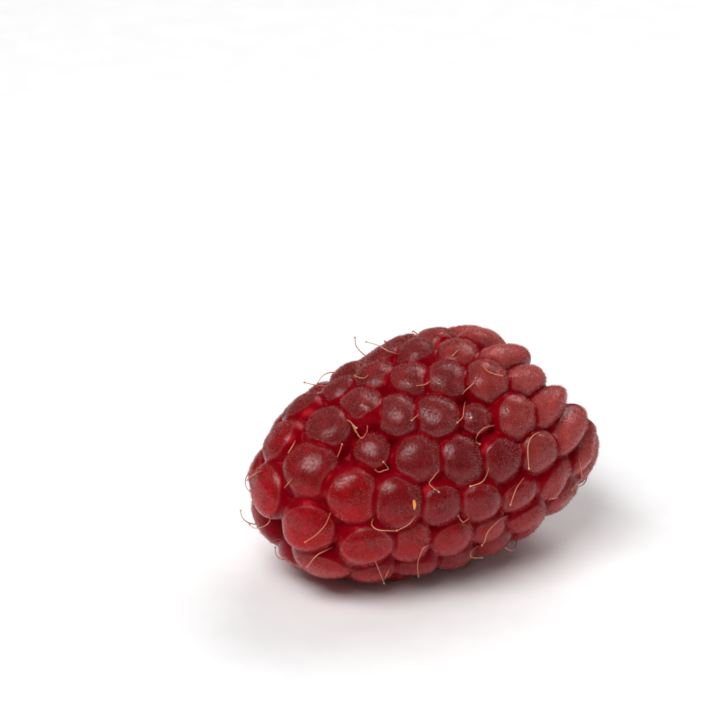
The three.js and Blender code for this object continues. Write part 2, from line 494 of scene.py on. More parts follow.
@dataclass
class FleshField:
    """Signed distance to the flesh, in millimetres: drupelets joined over a thin wall round the hollow."""

    rule: GrowingRule
    drupelets: Drupelets
    shift: np.ndarray
    hollow: Hollow
    fullness: float = 2.35  # of a dome's profile: 2 is an ellipse, more is squarer
    fill: float = 1.22  # how far domes reach sideways past their solids' radii, into each other
    rim_fill: float = 1.16
    crease: float = 0.035  # how far the creases are rounded
    wall_rise: float = 0.1  # how far the wall reaches out past the drupelets' middles
    pad_depth: float = 0.42  # how far the drupelets' inner ends swell into the hollow
    lump: float = 0.028  # unevenness of a drupelet, over its radius
    unlike: float = 0.05  # how much sizes differ beyond the rule's
    tilt: float = 0.09
    seed: int = 11
    nearest: int = 9
    ripple: float = 2.2  # waves of unevenness over a drupelet's radius
    reach: float = 0.8  # how far out of a drupelet its distance is counted
    wall_ends: Span = (0.03, 0.86)  # shares between which there is a wall
    painted_shade_heights: Span = (5.0, 14.0)  # over which drupelets grow darker upwards, as painted shade
    painted_shade_shares: Span = (0.02, 0.42)  # and away from the tip, as painted shade
    height_part: float = 0.6  # of those two, how much the height counts
    chance_part: float = 0.4  # how much of a drupelet's tone is drawn
    first_pad: float = 0.02  # share between the hollow's end and its first pillow
    pad_girth: float = 0.53  # half width of a pillow, over its part of the ring
    pad_reach: float = 1.65  # half length of a pillow
    core: float = 1e-3  # least share of its size that a body is measured from
    faint: float = 1e-30  # keeps the logarithm from zero
    counted: Span = (-2.5, 4.0)  # distances that make a difference in the blend
    batch: int = 20000
    pads: Drupelets = field(init=False)

    def __post_init__(self) -> None:
        """Adds the inner ends of the drupelets and draws the unevenness of each."""
        random = np.random.default_rng(self.seed)
        self.waves = random.normal(0.0, self.ripple, (len(self.drupelets), 3, 3))
        self.phases = random.uniform(0.0, 2 * math.pi, (len(self.drupelets), 3))
        # a drupelet's tone: a drawn part, and painted shade that darkens it higher up and away from the tip
        by_height = self.height_part * smooth(self.drupelets.centre[:, 2], *self.painted_shade_heights)
        shaded = by_height + (1 - self.height_part) * smooth(self.drupelets.share, *self.painted_shade_shares)
        by_chance = self.chance_part * random.uniform(0.0, 1.0, len(self.drupelets))
        self.tones = by_chance + (1 - self.chance_part) * shaded
        self.turned = self.leaning(random)
        size = random.uniform(1 - self.unlike, 1 + self.unlike, (len(self.drupelets), 3))
        self.halves = self.drupelets.half * size
        fill = np.where(self.drupelets.ring == self.rule.rim, self.rim_fill, self.fill)
        self.halves[:, [0, 2]] *= fill[:, None]
        self.pads = self.inner_ends()

    def leaning(self, random: np.random.Generator) -> np.ndarray:
        """The drupelets' axes, each leaning a little its own way.

        Args:
            random: draws the leans.

        Returns:
            Three axes for each drupelet.
        """
        axes = self.drupelets.axes + random.normal(0, self.tilt, (len(self.drupelets), 3, 3))
        out = axes[:, 1] / lengths(axes[:, 1])
        around = axes[:, 0] - out * (axes[:, 0] * out).sum(-1, keepdims=True)
        around /= lengths(around)
        return np.stack([around, out, np.cross(around, out) * self.hand(around, out)], 1)

    def hand(self, around: np.ndarray, out: np.ndarray) -> np.ndarray:
        """Whether the third axis follows or opposes the cross product of the first two."""
        return np.sign((np.cross(around, out) * self.drupelets.along).sum(-1, keepdims=True))

    def inner_ends(self) -> Drupelets:
        """The drupelets' inner ends: long pillows on the wall of the hollow.

        Returns:
            One pillow for each drupelet that reaches the hollow.
        """
        drupelets, line = self.drupelets, self.rule.line
        keep = (drupelets.ring < self.rule.rim) & (drupelets.share > self.hollow.end_share + self.first_pad)
        share, turn, ring = drupelets.share[keep], drupelets.turn[keep], drupelets.ring[keep]
        radius = self.hollow.radius(share)
        centre = line.body_point(share, radius * np.cos(turn), radius * np.sin(turn)) + self.shift
        counts = np.array([one.count for one in self.rule.rings])[ring]
        half = np.stack(
            [
                self.pad_girth * 2 * math.pi * radius / counts,
                np.full(len(share), self.pad_depth),
                np.full(len(share), self.pad_reach),
            ],
            -1,
        )
        return Drupelets(
            centre,
            drupelets.around[keep],
            drupelets.out[keep],
            drupelets.along[keep],
            half,
            ring,
            drupelets.place[keep],
            share,
            turn,
        )

    def lumpy(self, local: np.ndarray, index: np.ndarray) -> np.ndarray:
        """Slight unevenness of the drupelets' radii.

        Args:
            local: points in units of the half sizes.
            index: drupelet of each point.

        Returns:
            A factor for the radius at each point.
        """
        swing = np.einsum("...k,...wk->...w", local, self.waves[index]) + self.phases[index]
        return 1 + self.lump * np.sin(swing).sum(-1)

    def own_distance(self, points: np.ndarray, index: np.ndarray) -> np.ndarray:
        """Distance from drupelets.

        Args:
            points: points, in millimetres.
            index: the drupelet that each is measured to.

        Returns:
            The distances, negative inside.
        """
        drupelets = self.drupelets
        apart = points - drupelets.centre[index]
        local = np.einsum("...x,...kx->...k", apart, self.turned[index]) / self.halves[index]
        flat = np.hypot(local[..., 0], local[..., 2])
        size = (flat**self.fullness + np.abs(local[..., 1]) ** self.fullness) ** (1 / self.fullness)
        return self.from_middle(apart, size / self.lumpy(local, index))

    def pad_distance(self, points: np.ndarray, index: np.ndarray) -> np.ndarray:
        """Distance from the pillows in the hollow.

        Args:
            points: points, in millimetres.
            index: the pillow that each is measured to.

        Returns:
            The distances, negative inside.
        """
        apart = points - self.pads.centre[index]
        local = np.einsum("...x,...kx->...k", apart, self.pads.axes[index]) / self.pads.half[index]
        return self.from_middle(apart, np.linalg.norm(local, axis=-1))

    def from_middle(self, apart: np.ndarray, size: np.ndarray) -> np.ndarray:
        """Distance from a body's skin, where points lie apart from its middle at so many times its size."""
        return lengths(apart)[..., 0] * (1 - 1 / np.maximum(size, self.core))

    def blend(self, distances: np.ndarray) -> np.ndarray:
        """How much a distance counts in the joined flesh."""
        return np.exp(-np.clip(distances, *self.counted) / self.crease)

    def unblend(self, count: np.ndarray) -> np.ndarray:
        """The distance that a sum of counts stands for."""
        return -self.crease * np.log(count + self.faint)

    def joined(self, points: np.ndarray, side: np.ndarray, rim: np.ndarray, pads: np.ndarray) -> np.ndarray:
        """Joins the parts of the flesh, cuts the hollow and presses the seat flat.

        Args:
            points: points, in millimetres.
            side: sum of what the drupelets off the rim count.
            rim: sum of what the drupelets on the rim count.
            pads: sum of what the pillows in the hollow count.

        Returns:
            The signed distance at each point.
        """
        share, height, aside = self.rule.line.unbend(points - self.shift)
        radial = np.hypot(height, aside)
        wall = radial - self.rule.line.radius(np.clip(share, 0.0, 1.0)) - self.wall_rise
        wall = np.maximum(wall, (share - self.wall_ends[1]) * self.rule.line.length)
        wall = np.maximum(wall, (self.wall_ends[0] - share) * self.rule.line.length)
        solid = self.unblend(side + self.blend(wall))
        cut = np.maximum(solid, -self.hollow.distance(share, height, aside))
        flesh = self.unblend(self.blend(cut) + rim + pads)
        return np.maximum(flesh, -points[..., 2])

    def on_grid(self, low: np.ndarray, step: float, shape: tuple[int, int, int]) -> np.ndarray:
        """The field on a grid.

        Args:
            low: lowest corner of the grid.
            step: its spacing.
            shape: its number of points each way.

        Returns:
            The distances on the grid.
        """
        ticks = [low[k] + step * np.arange(shape[k]) for k in range(3)]
        sums = {name: np.zeros(shape) for name in ("side", "rim", "pads")}

        def add(group: Drupelets, measure: object, number: int, name: str) -> None:
            """Adds one drupelet or pillow to a sum, in the box round it.

            Args:
                group: the drupelets or the pillows.
                measure: gives the distance from one of them.
                number: which one.
                name: the sum.
            """
            extent = np.abs(group.axes[number] * group.half[number][:, None]).sum(0) + self.reach
            spans = []
            for k in range(3):
                first = np.searchsorted(ticks[k], group.centre[number][k] - extent[k])
                last = np.searchsorted(ticks[k], group.centre[number][k] + extent[k])
                spans.append(slice(first, last))
            grid = np.stack(np.meshgrid(*[ticks[k][spans[k]] for k in range(3)], indexing="ij"), -1)
            sums[name][tuple(spans)] += self.blend(measure(grid, np.full(grid.shape[:-1], number)))

        for number in range(len(self.drupelets)):
            on_rim = self.drupelets.ring[number] == self.rule.rim
            add(self.drupelets, self.own_distance, number, "rim" if on_rim else "side")
        for number in range(len(self.pads)):
            add(self.pads, self.pad_distance, number, "pads")
        points = np.stack(np.meshgrid(*ticks, indexing="ij"), -1)
        return self.joined(points, sums["side"], sums["rim"], sums["pads"])

    def closest(self, points: np.ndarray, group: Drupelets, count: int) -> np.ndarray:
        """Numbers of the members of a group that are closest to points.

        Args:
            points: points, in millimetres.
            group: drupelets or pillows.
            count: how many to find.

        Returns:
            The numbers, nearest first, for each point.
        """
        found = []
        for start in range(0, len(points), self.batch):
            some = points[start : start + self.batch]
            squares = ((some[:, None] - group.centre[None]) ** 2).sum(-1)
            best = np.argpartition(squares, count, axis=1)[:, :count]
            order = np.argsort(np.take_along_axis(squares, best, 1), axis=1)
            found.append(np.take_along_axis(best, order, 1))
        return np.concatenate(found)

    def at(self, points: np.ndarray, near: np.ndarray, near_pads: np.ndarray) -> np.ndarray:
        """The field at scattered points.

        Args:
            points: points, in millimetres.
            near: the drupelets that are near each.
            near_pads: the pillows that are near each.

        Returns:
            The distances.
        """
        wide = np.repeat(points[:, None], near.shape[1], 1)
        counts = self.blend(self.own_distance(wide, near))
        on_rim = self.drupelets.ring[near] == self.rule.rim
        wide = np.repeat(points[:, None], near_pads.shape[1], 1)
        pads = self.blend(self.pad_distance(wide, near_pads)).sum(1)
        return self.joined(points, (counts * ~on_rim).sum(1), (counts * on_rim).sum(1), pads)


@dataclass
class SurfaceNet:
    """Turns a field on a grid into a mesh of four-sided faces."""

    low: np.ndarray
    step: float
    values: np.ndarray

    def corners(self) -> tuple[np.ndarray, np.ndarray]:
        """The mesh's vertices, one in each cell that the surface crosses.

        Returns:
            Vertices, and the number of the vertex of each cell, -1 where there is none.
        """
        inside = self.values < 0
        nx, ny, nz = inside.shape
        count = np.zeros((nx - 1, ny - 1, nz - 1), np.int8)
        offsets = [(i, j, k) for i in (0, 1) for j in (0, 1) for k in (0, 1)]
        for i, j, k in offsets:
            count += inside[i : nx - 1 + i, j : ny - 1 + j, k : nz - 1 + k]
        cells = np.argwhere((count > 0) & (count < 8))
        total, crossings = np.zeros((len(cells), 3)), np.zeros(len(cells))
        for one in offsets:
            for axis in range(3):
                if one[axis]:
                    continue
                other = np.array(one)
                other[axis] = 1
                first = self.values[tuple((cells + one).T)]
                second = self.values[tuple((cells + other).T)]
                crossed = (first < 0) != (second < 0)
                share = np.where(crossed, first / np.where(crossed, first - second, 1.0), 0.0)
                place = np.repeat(np.array(one, float)[None], len(cells), 0)
                place[:, axis] = share
                total[crossed] += place[crossed]
                crossings += crossed
        number = np.full(count.shape, -1)
        number[tuple(cells.T)] = np.arange(len(cells))
        return self.low + self.step * (cells + total / crossings[:, None]), number

    def faces(self, number: np.ndarray) -> np.ndarray:
        """The mesh's faces, one round each grid edge that the surface crosses.

        Args:
            number: number of the vertex of each cell.

        Returns:
            Four vertex numbers for each face.
        """
        inside = self.values < 0
        found = []
        for axis in range(3):
            one, two = (axis + 1) % 3, (axis + 2) % 3
            here = np.moveaxis(inside, axis, 0)
            edges = np.argwhere(here[1:] != here[:-1])
            others = [k for k in range(3) if k != axis]
            full = np.zeros_like(edges)
            full[:, axis] = edges[:, 0]
            full[:, others[0]] = edges[:, 1]
            full[:, others[1]] = edges[:, 2]
            cells = []
            for back_one, back_two in ((1, 1), (0, 1), (0, 0), (1, 0)):
                cell = full.copy()
                cell[:, one] -= back_one
                cell[:, two] -= back_two
                cells.append(number[tuple(cell.T)])
            quad = np.stack(cells, -1)
            starts_inside = inside[tuple(full.T)]
            quad[~starts_inside] = quad[~starts_inside][:, ::-1]
            found.append(quad)
        return np.concatenate(found)


def mesh_object(name: str, points: np.ndarray, faces: np.ndarray) -> bpy.types.Object:
    """Makes a smooth mesh object from arrays.

    Args:
        name: name of the object.
        points: its vertices, in metres.
        faces: vertex numbers of its faces, all with as many corners.

    Returns:
        The object, linked to the scene.
    """
    mesh = bpy.data.meshes.new(name)
    mesh.vertices.add(len(points))
    mesh.vertices.foreach_set("co", points.astype(np.float32).ravel())
    sides = faces.shape[1]
    mesh.loops.add(faces.size)
    mesh.loops.foreach_set("vertex_index", faces.astype(np.int32).ravel())
    mesh.polygons.add(len(faces))
    mesh.polygons.foreach_set("loop_start", np.arange(0, faces.size, sides, dtype=np.int32))
    mesh.polygons.foreach_set("use_smooth", np.ones(len(faces), bool))
    mesh.update(calc_edges=True)
    mesh.validate()
    made = bpy.data.objects.new(name, mesh)
    bpy.context.scene.collection.objects.link(made)
    return made


def point_values(piece: bpy.types.Object, name: str, values: np.ndarray) -> None:
    """Stores one number for each vertex of a piece, for its material."""
    attribute = piece.data.attributes.new(name, "FLOAT", "POINT")
    attribute.data.foreach_set("value", values.astype(np.float32))


class NodeBoard:
    """Lays out the nodes of one material."""

    def __init__(self, name: str) -> None:
        """Starts an empty material.

        Args:
            name: its name.
        """
        self.material = bpy.data.materials.new(name)
        self.material.use_nodes = True
        self.tree = self.material.node_tree
        self.tree.nodes.clear()

    def add(self, kind: str, settings: dict | None = None, **inputs: object) -> bpy.types.Node:
        """Adds a node.

        Args:
            kind: its type, without the leading ShaderNode.
            settings: its own properties.
            inputs: values or output sockets for its inputs; spaces in their names are written as _.

        Returns:
            The node.
        """
        node = self.tree.nodes.new("ShaderNode" + kind)
        for key, value in (settings or {}).items():
            setattr(node, key, value)
        for key, value in inputs.items():
            place = int(key[1:]) if key[0] == "i" and key[1:].isdigit() else key.replace("_", " ")
            if isinstance(value, bpy.types.NodeSocket):
                self.tree.links.new(value, node.inputs[place])
            else:
                node.inputs[place].default_value = value
        return node

    def value(self, name: str) -> Socket:
        """A number that the mesh stores at its vertices."""
        return self.add("Attribute", {"attribute_name": name}).outputs["Fac"]

    def math(self, operation: str, *values: object) -> Socket:
        """The result of a sum on numbers or sockets."""
        settings = {"operation": operation}
        return self.add("Math", settings, **{f"i{k}": v for k, v in enumerate(values)}).outputs[0]

    def span(self, value: object, low: float, high: float, to_low: float, to_high: float) -> Socket:
        """Maps a range of numbers softly to another range.

        Args:
            value: the socket to map.
            low: start of its range.
            high: end of its range.
            to_low: result at the start.
            to_high: result at the end.

        Returns:
            The mapped socket.
        """
        settings = {"interpolation_type": "SMOOTHSTEP"}
        node = self.add("MapRange", settings, i0=value, i1=low, i2=high, i3=to_low, i4=to_high)
        return node.outputs[0]

    def product(self, first: object, second: object) -> Socket:
        """Two numbers or sockets multiplied."""
        return self.math("MULTIPLY", first, second)

    def sum(self, first: object, second: object) -> Socket:
        """Two numbers or sockets added."""
        return self.math("ADD", first, second)

    def mix(self, share: object, first: object, second: object) -> Socket:
        """The first colour with a share of the second mixed in."""
        return self.add("Mix", {"data_type": "RGBA"}, i0=share, i6=first, i7=second).outputs[2]

    def noise(self, scale: float, detail: float = 2.0, roughness: float = 0.5) -> Socket:
        """Soft noise that is fixed to the berry.

        Args:
            scale: its waves in a metre.
            detail: how many finer layers it has.
            roughness: how strong those are.

        Returns:
            The noise, from 0 to 1.
        """
        place = self.add("TexCoord").outputs["Object"]
        node = self.add("TexNoise", None, Vector=place, Scale=scale, Detail=detail, Roughness=roughness)
        return node.outputs["Fac"]

    def finish(self, surface: bpy.types.Node) -> bpy.types.Material:
        """Ends the material.

        Args:
            surface: its shader.

        Returns:
            The material.
        """
        output = self.add("OutputMaterial")
        self.tree.links.new(surface.outputs[0], output.inputs["Surface"])
        return self.material


@dataclass(frozen=True)
class DrupeletSkin:
    """Juicy red flesh under a thin skin with pale down, with painted shade, a painted glow and a painted
    sheen. Scales count waves in a metre, depths are metres.
    """

    crease_red_and_shade: Colour = (0.21, 0.0002, 0.005, 1.0)  # in the creases: the bare flesh's red, darkened as painted shade
    ripe: Colour = (0.38, 0.0010, 0.005, 1.0)
    # the darker red of drawn tone and coarse patches, and of the painted shade higher up and away from the
    # tip
    dusk: Colour = (0.138, 0.0012, 0.004, 1.0)
    glow_red: Colour = (0.48, 0.0015, 0.008, 1.0)  # painted glow low on a drupelet, standing in for light that comes through
    tan: Colour = (0.37, 0.042, 0.038, 1.0)  # round the mouth
    dark: Colour = (0.05, 0.0005, 0.001, 1.0)
    bloom_and_sheen: Colour = (0.25, 0.030, 0.029, 1.0)  # at the roots of the down, and the painted sheen along a drupelet's edge
    hollow: Colour = (0.26, 0.003, 0.006, 1.0)
    shine: Colour = (1.0, 1.0, 1.0, 1.0)
    pore_shine: Colour = (0.30, 0.10, 0.10, 1.0)
    # the shine's tint where the painted glow shows
    glow_shine: Colour = (1.0, 0.25, 0.25, 1.0)
    # the shine's tint in the creases, dimmed as painted shade
    crease_shine_shade: Colour = (1.0, 0.06, 0.08, 1.0)
    pore_scale: float = 9000.0
    patch_scale: float = 900.0
    dot_scale: float = 5200.0
    shine_scale: float = 7000.0
    pore_depth: float = 0.00006
    dent_depth: float = 0.00012
    darker: Ramp = (0.1, 0.9, 0.0, 1.0)  # by a drupelet's tone, which holds painted shade
    patches: Ramp = (0.35, 0.7, 0.0, 0.35)  # by coarse noise
    lit_through: Ramp = (0.2, 0.9, 0.6, 0.25)  # how much of the painted glow shows, by tone
    dots: Ramp = (0.58, 0.70, 0.0, 0.6)  # dark dots, by fine noise
    dots_below: Ramp = (0.0, 0.8, 1.0, 0.25)  # fewer of them where the painted glow shows
    dots_at_mouth: Ramp = (0.0, 1.0, 1.0, 0.2)  # and round the mouth
    open_skin: Ramp = (0.06, 0.4, 0.0, 1.0)  # by the gap from the creases
    roots: Ramp = (0.45, 0.75, 0.0, 0.55)  # pale roots of the down, by fine noise
    roots_below: Ramp = (0.0, 1.0, 1.0, 0.5)  # fewer of them where the painted glow shows
    edge_start: Ramp = (0.10, 0.17, 0.0, 0.65)  # painted sheen: the pale line along a drupelet's edge, by the gap
    edge_end: Ramp = (0.18, 0.33, 1.0, 0.0)
    edge_below: Ramp = (0.0, 1.0, 1.0, 0.75)
    crease: Ramp = (0.03, 0.18, 1.0, 0.0)  # painted shade over the creases' bare red, by the gap, as is the painted shade of the crease in the shine
    shine_crease: Ramp = (0.05, 0.19, 1.0, 0.0)
    shine_pores: Ramp = (0.50, 0.60, 0.0, 0.9)
    roughness: Ramp = (0.35, 0.65, 0.09, 0.24)
    pale_roughness: float = 0.06  # added where the berry is pale
    pale_bloom: float = 0.5  # of the down's roots where the berry is pale
    # how strong the painted shade in bare pits is
    pit_shade: float = 0.7
    glow_reddening: float = 0.75  # how much the painted glow reddens the shine

    def material(self) -> bpy.types.Material:
        """Makes the material.

        Returns:
            The material of the flesh.
        """
        board = NodeBoard("drupelet_skin")
        speckle = board.noise(self.pore_scale, 2.0, 0.6)
        patch = board.noise(self.patch_scale, 3.0, 0.6)
        pores = board.add("Bump", None, Strength=0.34, Distance=self.pore_depth, Height=speckle).outputs[0]
        dents = board.add("Bump", None, Strength=0.5, Distance=self.dent_depth, Height=patch, Normal=pores)
        rougher = board.product(board.value("paleness"), self.pale_roughness)
        shader = board.add(
            "BsdfPrincipled",
            None,
            Base_Color=self.colour(board, speckle, patch),
            Roughness=board.sum(board.span(speckle, *self.roughness), rougher),
            Normal=dents.outputs[0],
            Subsurface_Weight=0.4,
            Subsurface_Radius=(1.0, 0.12, 0.08),
            Subsurface_Scale=0.0016,
            Specular_IOR_Level=0.37,
            Specular_Tint=self.gloss(board),
            Sheen_Weight=0.015,
            Sheen_Roughness=0.35,
            Sheen_Tint=(1.0, 0.6, 0.6, 1.0),
        )
        return board.finish(shader)

    def colour(self, board: NodeBoard, speckle: Socket, patch: Socket) -> Socket:
        """The colour of the flesh, with painted shade in creases, pits and upper drupelets, a painted glow
        low on each drupelet and a painted sheen along its edge.

        Args:
            board: the material's nodes.
            speckle: fine noise.
            patch: coarse noise.

        Returns:
            The colour.
        """
        gap, tone, painted_glow, mouth = (board.value(name) for name in ("gap", "tone", "painted_glow", "mouth"))
        skin = board.mix(board.span(tone, *self.darker), self.ripe, self.dusk)
        skin = board.mix(board.span(patch, *self.patches), skin, self.dusk)
        # painted glow: brighter red low on each drupelet, for light that comes through it
        skin = board.mix(board.product(painted_glow, board.span(tone, *self.lit_through)), skin, self.glow_red)
        dots = board.span(board.noise(self.dot_scale, 1.0, 0.5), *self.dots)
        dots = board.product(dots, board.span(painted_glow, *self.dots_below))
        dots = board.product(dots, board.span(mouth, *self.dots_at_mouth))
        skin = board.mix(dots, skin, self.dark)
        open_skin = board.span(gap, *self.open_skin)
        skin = board.mix(self.down_and_sheen(board, speckle, open_skin), skin, self.bloom_and_sheen)
        skin = board.mix(board.product(mouth, open_skin), skin, self.tan)
        # painted shade in the creases, over the flesh's bare red
        skin = board.mix(board.span(gap, *self.crease), skin, self.crease_red_and_shade)
        # painted shade in bare pits between drupelets
        skin = board.mix(board.product(board.value("pit"), self.pit_shade), skin, self.dark)
        return board.mix(board.value("zone"), skin, self.hollow)

    def down_and_sheen(self, board: NodeBoard, speckle: Socket, open_skin: Socket) -> Socket:
        """How much the down pales the skin, in specks and where the berry is pale, with a painted sheen along
        a drupelet's edge.

        Args:
            board: the material's nodes.
            speckle: fine noise.
            open_skin: how far out of the creases the skin is.

        Returns:
            The share of down and painted sheen.
        """
        gap, painted_glow, pale = (board.value(name) for name in ("gap", "painted_glow", "paleness"))
        roots = board.product(board.span(speckle, *self.roots), open_skin)
        roots = board.product(roots, board.span(painted_glow, *self.roots_below))
        pale = board.product(board.product(pale, open_skin), self.pale_bloom)
        # painted sheen along each drupelet's edge, less where the painted glow shows
        edge = board.product(board.span(gap, *self.edge_start), board.span(gap, *self.edge_end))
        edge = board.product(edge, board.span(painted_glow, *self.edge_below))
        return board.sum(board.sum(roots, pale), edge)

    def gloss(self, board: NodeBoard) -> Socket:
        """The tint of the shine: broken by pores, redder where the painted glow shows, and dimmed to red in
        the creases as painted shade.

        Args:
            board: the material's nodes.

        Returns:
            The tint.
        """
        pores = board.span(board.noise(self.shine_scale, 1.0, 0.5), *self.shine_pores)
        tint = board.mix(pores, self.shine, self.pore_shine)
        tint = board.mix(board.product(board.value("painted_glow"), self.glow_reddening), tint, self.glow_shine)
        return board.mix(board.span(board.value("gap"), *self.shine_crease), tint, self.crease_shine_shade)


@dataclass(frozen=True)
class DriedStyle:
    """A dry style: reddish where it leaves the drupelet, tan along it, pale at the knob."""

    root: Colour = (0.50, 0.10, 0.06, 1.0)
    middle: Colour = (0.70, 0.33, 0.17, 1.0)
    knob: Colour = (0.78, 0.52, 0.36, 1.0)
    name: str = "dried_style"
    paler: Ramp = (0.05, 0.55, 0.0, 1.0)
    knob_part: Ramp = (0.82, 0.98, 0.0, 1.0)
    redder: Ramp = (0.0, 1.0, 0.0, 0.55)

    def material(self) -> bpy.types.Material:
        """Makes the material.

        Returns:
            The material of the styles.
        """
        board = NodeBoard(self.name)
        along = board.value("along")
        colour = board.mix(board.span(along, *self.paler), self.root, self.middle)
        colour = board.mix(board.span(along, *self.knob_part), colour, self.knob)
        colour = board.mix(board.span(board.value("tone"), *self.redder), colour, self.root)
        shader = board.add("BsdfPrincipled", None, Base_Color=colour, Roughness=0.55, Specular_IOR_Level=0.4)
        return board.finish(shader)


DRIED_ANTHER = DriedStyle(
    (0.80, 0.27, 0.04, 1.0), (0.85, 0.36, 0.06, 1.0), (0.85, 0.45, 0.12, 1.0), "dried_anther"
)


@dataclass(frozen=True)
class PaleFlesh:
    """The torn ends of the strands that held the core, pale pink."""

    tip: Colour = (0.50, 0.17, 0.15, 1.0)
    root: Colour = (0.34, 0.02, 0.02, 1.0)
    paler: Ramp = (0.0, 0.7, 0.0, 1.0)
    grain_scale: float = 6000.0  # waves in a metre
    grain_depth: float = 0.00005

    def material(self) -> bpy.types.Material:
        """Makes the material.

        Returns:
            The material of the strand ends.
        """
        board = NodeBoard("pale_flesh")
        colour = board.mix(board.span(board.value("along"), *self.paler), self.root, self.tip)
        grain = board.noise(self.grain_scale, 2.0, 0.6)
        bump = board.add("Bump", None, Strength=0.4, Distance=self.grain_depth, Height=grain)
        shader = board.add(
            "BsdfPrincipled",
            None,
            Base_Color=colour,
            Roughness=0.5,
            Normal=bump.outputs[0],
            Subsurface_Weight=0.3,
            Subsurface_Radius=(1.0, 0.4, 0.3),
            Subsurface_Scale=0.0006,
        )
        return board.finish(shader)


@dataclass
class Flesh:
    """The grown-together drupelets as one fine mesh."""

    field: FleshField
    step: float = 0.19
    margin: float = 0.5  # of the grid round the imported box
    rounds: int = 3
    gap_width: float = 2.0  # difference of distances that counts as the middle of a dome
    edge: float = 0.895  # share of a drupelet's radius at which its round edge lies
    rim_edge: float = 0.15  # how much further out it lies on the rim
    edge_rise: float = 3.0  # how quickly the gap grows inwards from the edge
    rim_softness: float = 1.9  # how much slower on the rim
    nearest_pads: int = 4
    probe: float = 0.01  # half the way over which the field's slope is taken
    least_slope: float = 0.2  # square of the slope below which a vertex is moved more carefully
    longest_move: float = 0.45  # of a vertex in one round, over the grid's step
    bare_from: float = 0.03  # distance from all drupelets at which a spot begins to be bare
    bare_rise: float = 3.0
    pitted: Span = (0.1, 0.6)  # bareness over which a pit darkens with painted shade
    rim_shares: Span = (0.62, 0.88)  # over which drupelets take on the looks of the mouth
    glow_shares: Span = (0.12, 0.5)  # over which the painted glow fades away from the tip
    glow_lost: float = 0.65
    glow_depths: Span = (-0.25, 0.45)  # where the painted glow shows: below a drupelet's middle, over its size
    pale_heights: Span = (9.5, 15.0)  # over which drupelets grow paler upwards
    palest: float = 0.85
    hollow_depths: Span = (-0.35, 0.05)  # from the flesh into the hollow
    hollow_end: float = 0.93  # share at which the rim takes over

    def build(self) -> bpy.types.Object:
        """Builds the mesh and stores what its material needs.

        Returns:
            The berry's flesh.
        """
        low, high = (np.array(corner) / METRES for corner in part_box(NODE))
        low, high = low - self.margin, high + self.margin
        shape = tuple(int(n) for n in np.ceil((high - low) / self.step) + 1)
        net = SurfaceNet(low, self.step, self.field.on_grid(low, self.step, shape))
        points, number = net.corners()
        faces = net.faces(number)
        near = self.field.closest(points, self.field.drupelets, self.field.nearest)
        near_pads = self.field.closest(points, self.field.pads, self.nearest_pads)
        points = self.drawn_on(points, near, near_pads)
        piece = mesh_object("berry_flesh", points * METRES, faces)
        self.describe(piece, points, near)
        piece.data.materials.append(DrupeletSkin().material())
        return piece

    def drawn_on(self, points: np.ndarray, near: np.ndarray, near_pads: np.ndarray) -> np.ndarray:
        """Draws the vertices on to the surface.

        Args:
            points: vertices, in millimetres.
            near: the drupelets near each.
            near_pads: the pillows near each.

        Returns:
            The moved vertices.
        """
        for _ in range(self.rounds):
            value = self.field.at(points, near, near_pads)
            slopes = []
            for way in self.probe * np.eye(3):
                ahead = self.field.at(points + way, near, near_pads)
                behind = self.field.at(points - way, near, near_pads)
                slopes.append((ahead - behind) / (2 * self.probe))
            slope = np.stack(slopes, -1)
            move = -value[:, None] * slope / np.maximum((slope**2).sum(-1, keepdims=True), self.least_slope)
            move *= np.minimum(1.0, self.longest_move * self.step / np.maximum(lengths(move), TINY))
            points = points + move
        points[:, 2] = np.maximum(points[:, 2], 0.0)
        return points

    def describe(self, piece: bpy.types.Object, points: np.ndarray, near: np.ndarray) -> None:
        """Stores at each vertex what the material needs.

        These are numbers from 0 to 1: the gap from the creases, painted shade in bare pits, the drupelet's
        tone, a painted glow low on it, paleness, and how much a vertex belongs to the mouth and to the
        hollow.

        Args:
            piece: the mesh's object.
            points: its vertices, in millimetres.
            near: the drupelets near each.
        """
        distance = self.field.own_distance(np.repeat(points[:, None], near.shape[1], 1), near)
        order = np.argsort(distance, axis=1)
        sorted_distance = np.take_along_axis(distance, order, 1)
        owner = np.take_along_axis(near, order[:, :1], 1)[:, 0]
        lead = (sorted_distance[:, 1] - sorted_distance[:, 0]) / self.gap_width
        bare = self.bare_rise * np.maximum(sorted_distance[:, 0] - self.bare_from, 0.0)
        drupelets, halves = self.field.drupelets, self.field.halves[owner]
        middle, own_share = drupelets.centre[owner], drupelets.share[owner]
        local = np.einsum("nx,nkx->nk", points - middle, self.field.turned[owner]) / halves
        flat = np.hypot(local[:, 0], local[:, 2])
        rim = smooth(own_share, *self.rim_shares)
        inset = (self.edge + self.rim_edge * rim - flat) * (self.edge_rise - self.rim_softness * rim)
        below = (middle[:, 2] - points[:, 2]) / halves.mean(1)
        # how much of the painted glow is kept, less away from the tip
        ripe = 1 - self.glow_lost * smooth(own_share, *self.glow_shares)
        top = self.palest * smooth(middle[:, 2], *self.pale_heights)
        share, height, aside = self.field.rule.line.unbend(points - self.field.shift)
        depth = self.field.hollow.distance(share, height, aside)
        for name, values in {
            # painted shade in pits where no drupelet reaches
            "pit": smooth(bare, *self.pitted),
            "gap": np.clip(np.minimum(lead, inset) - bare, 0, 1),
            "tone": self.field.tones[owner],
            # painted glow low on each drupelet
            "painted_glow": smooth(below, *self.glow_depths) * ripe,
            "paleness": np.maximum(rim, top),
            "mouth": rim,
            "zone": smooth(-depth, *self.hollow_depths) * (share < self.hollow_end),
        }.items():
            point_values(piece, name, values)


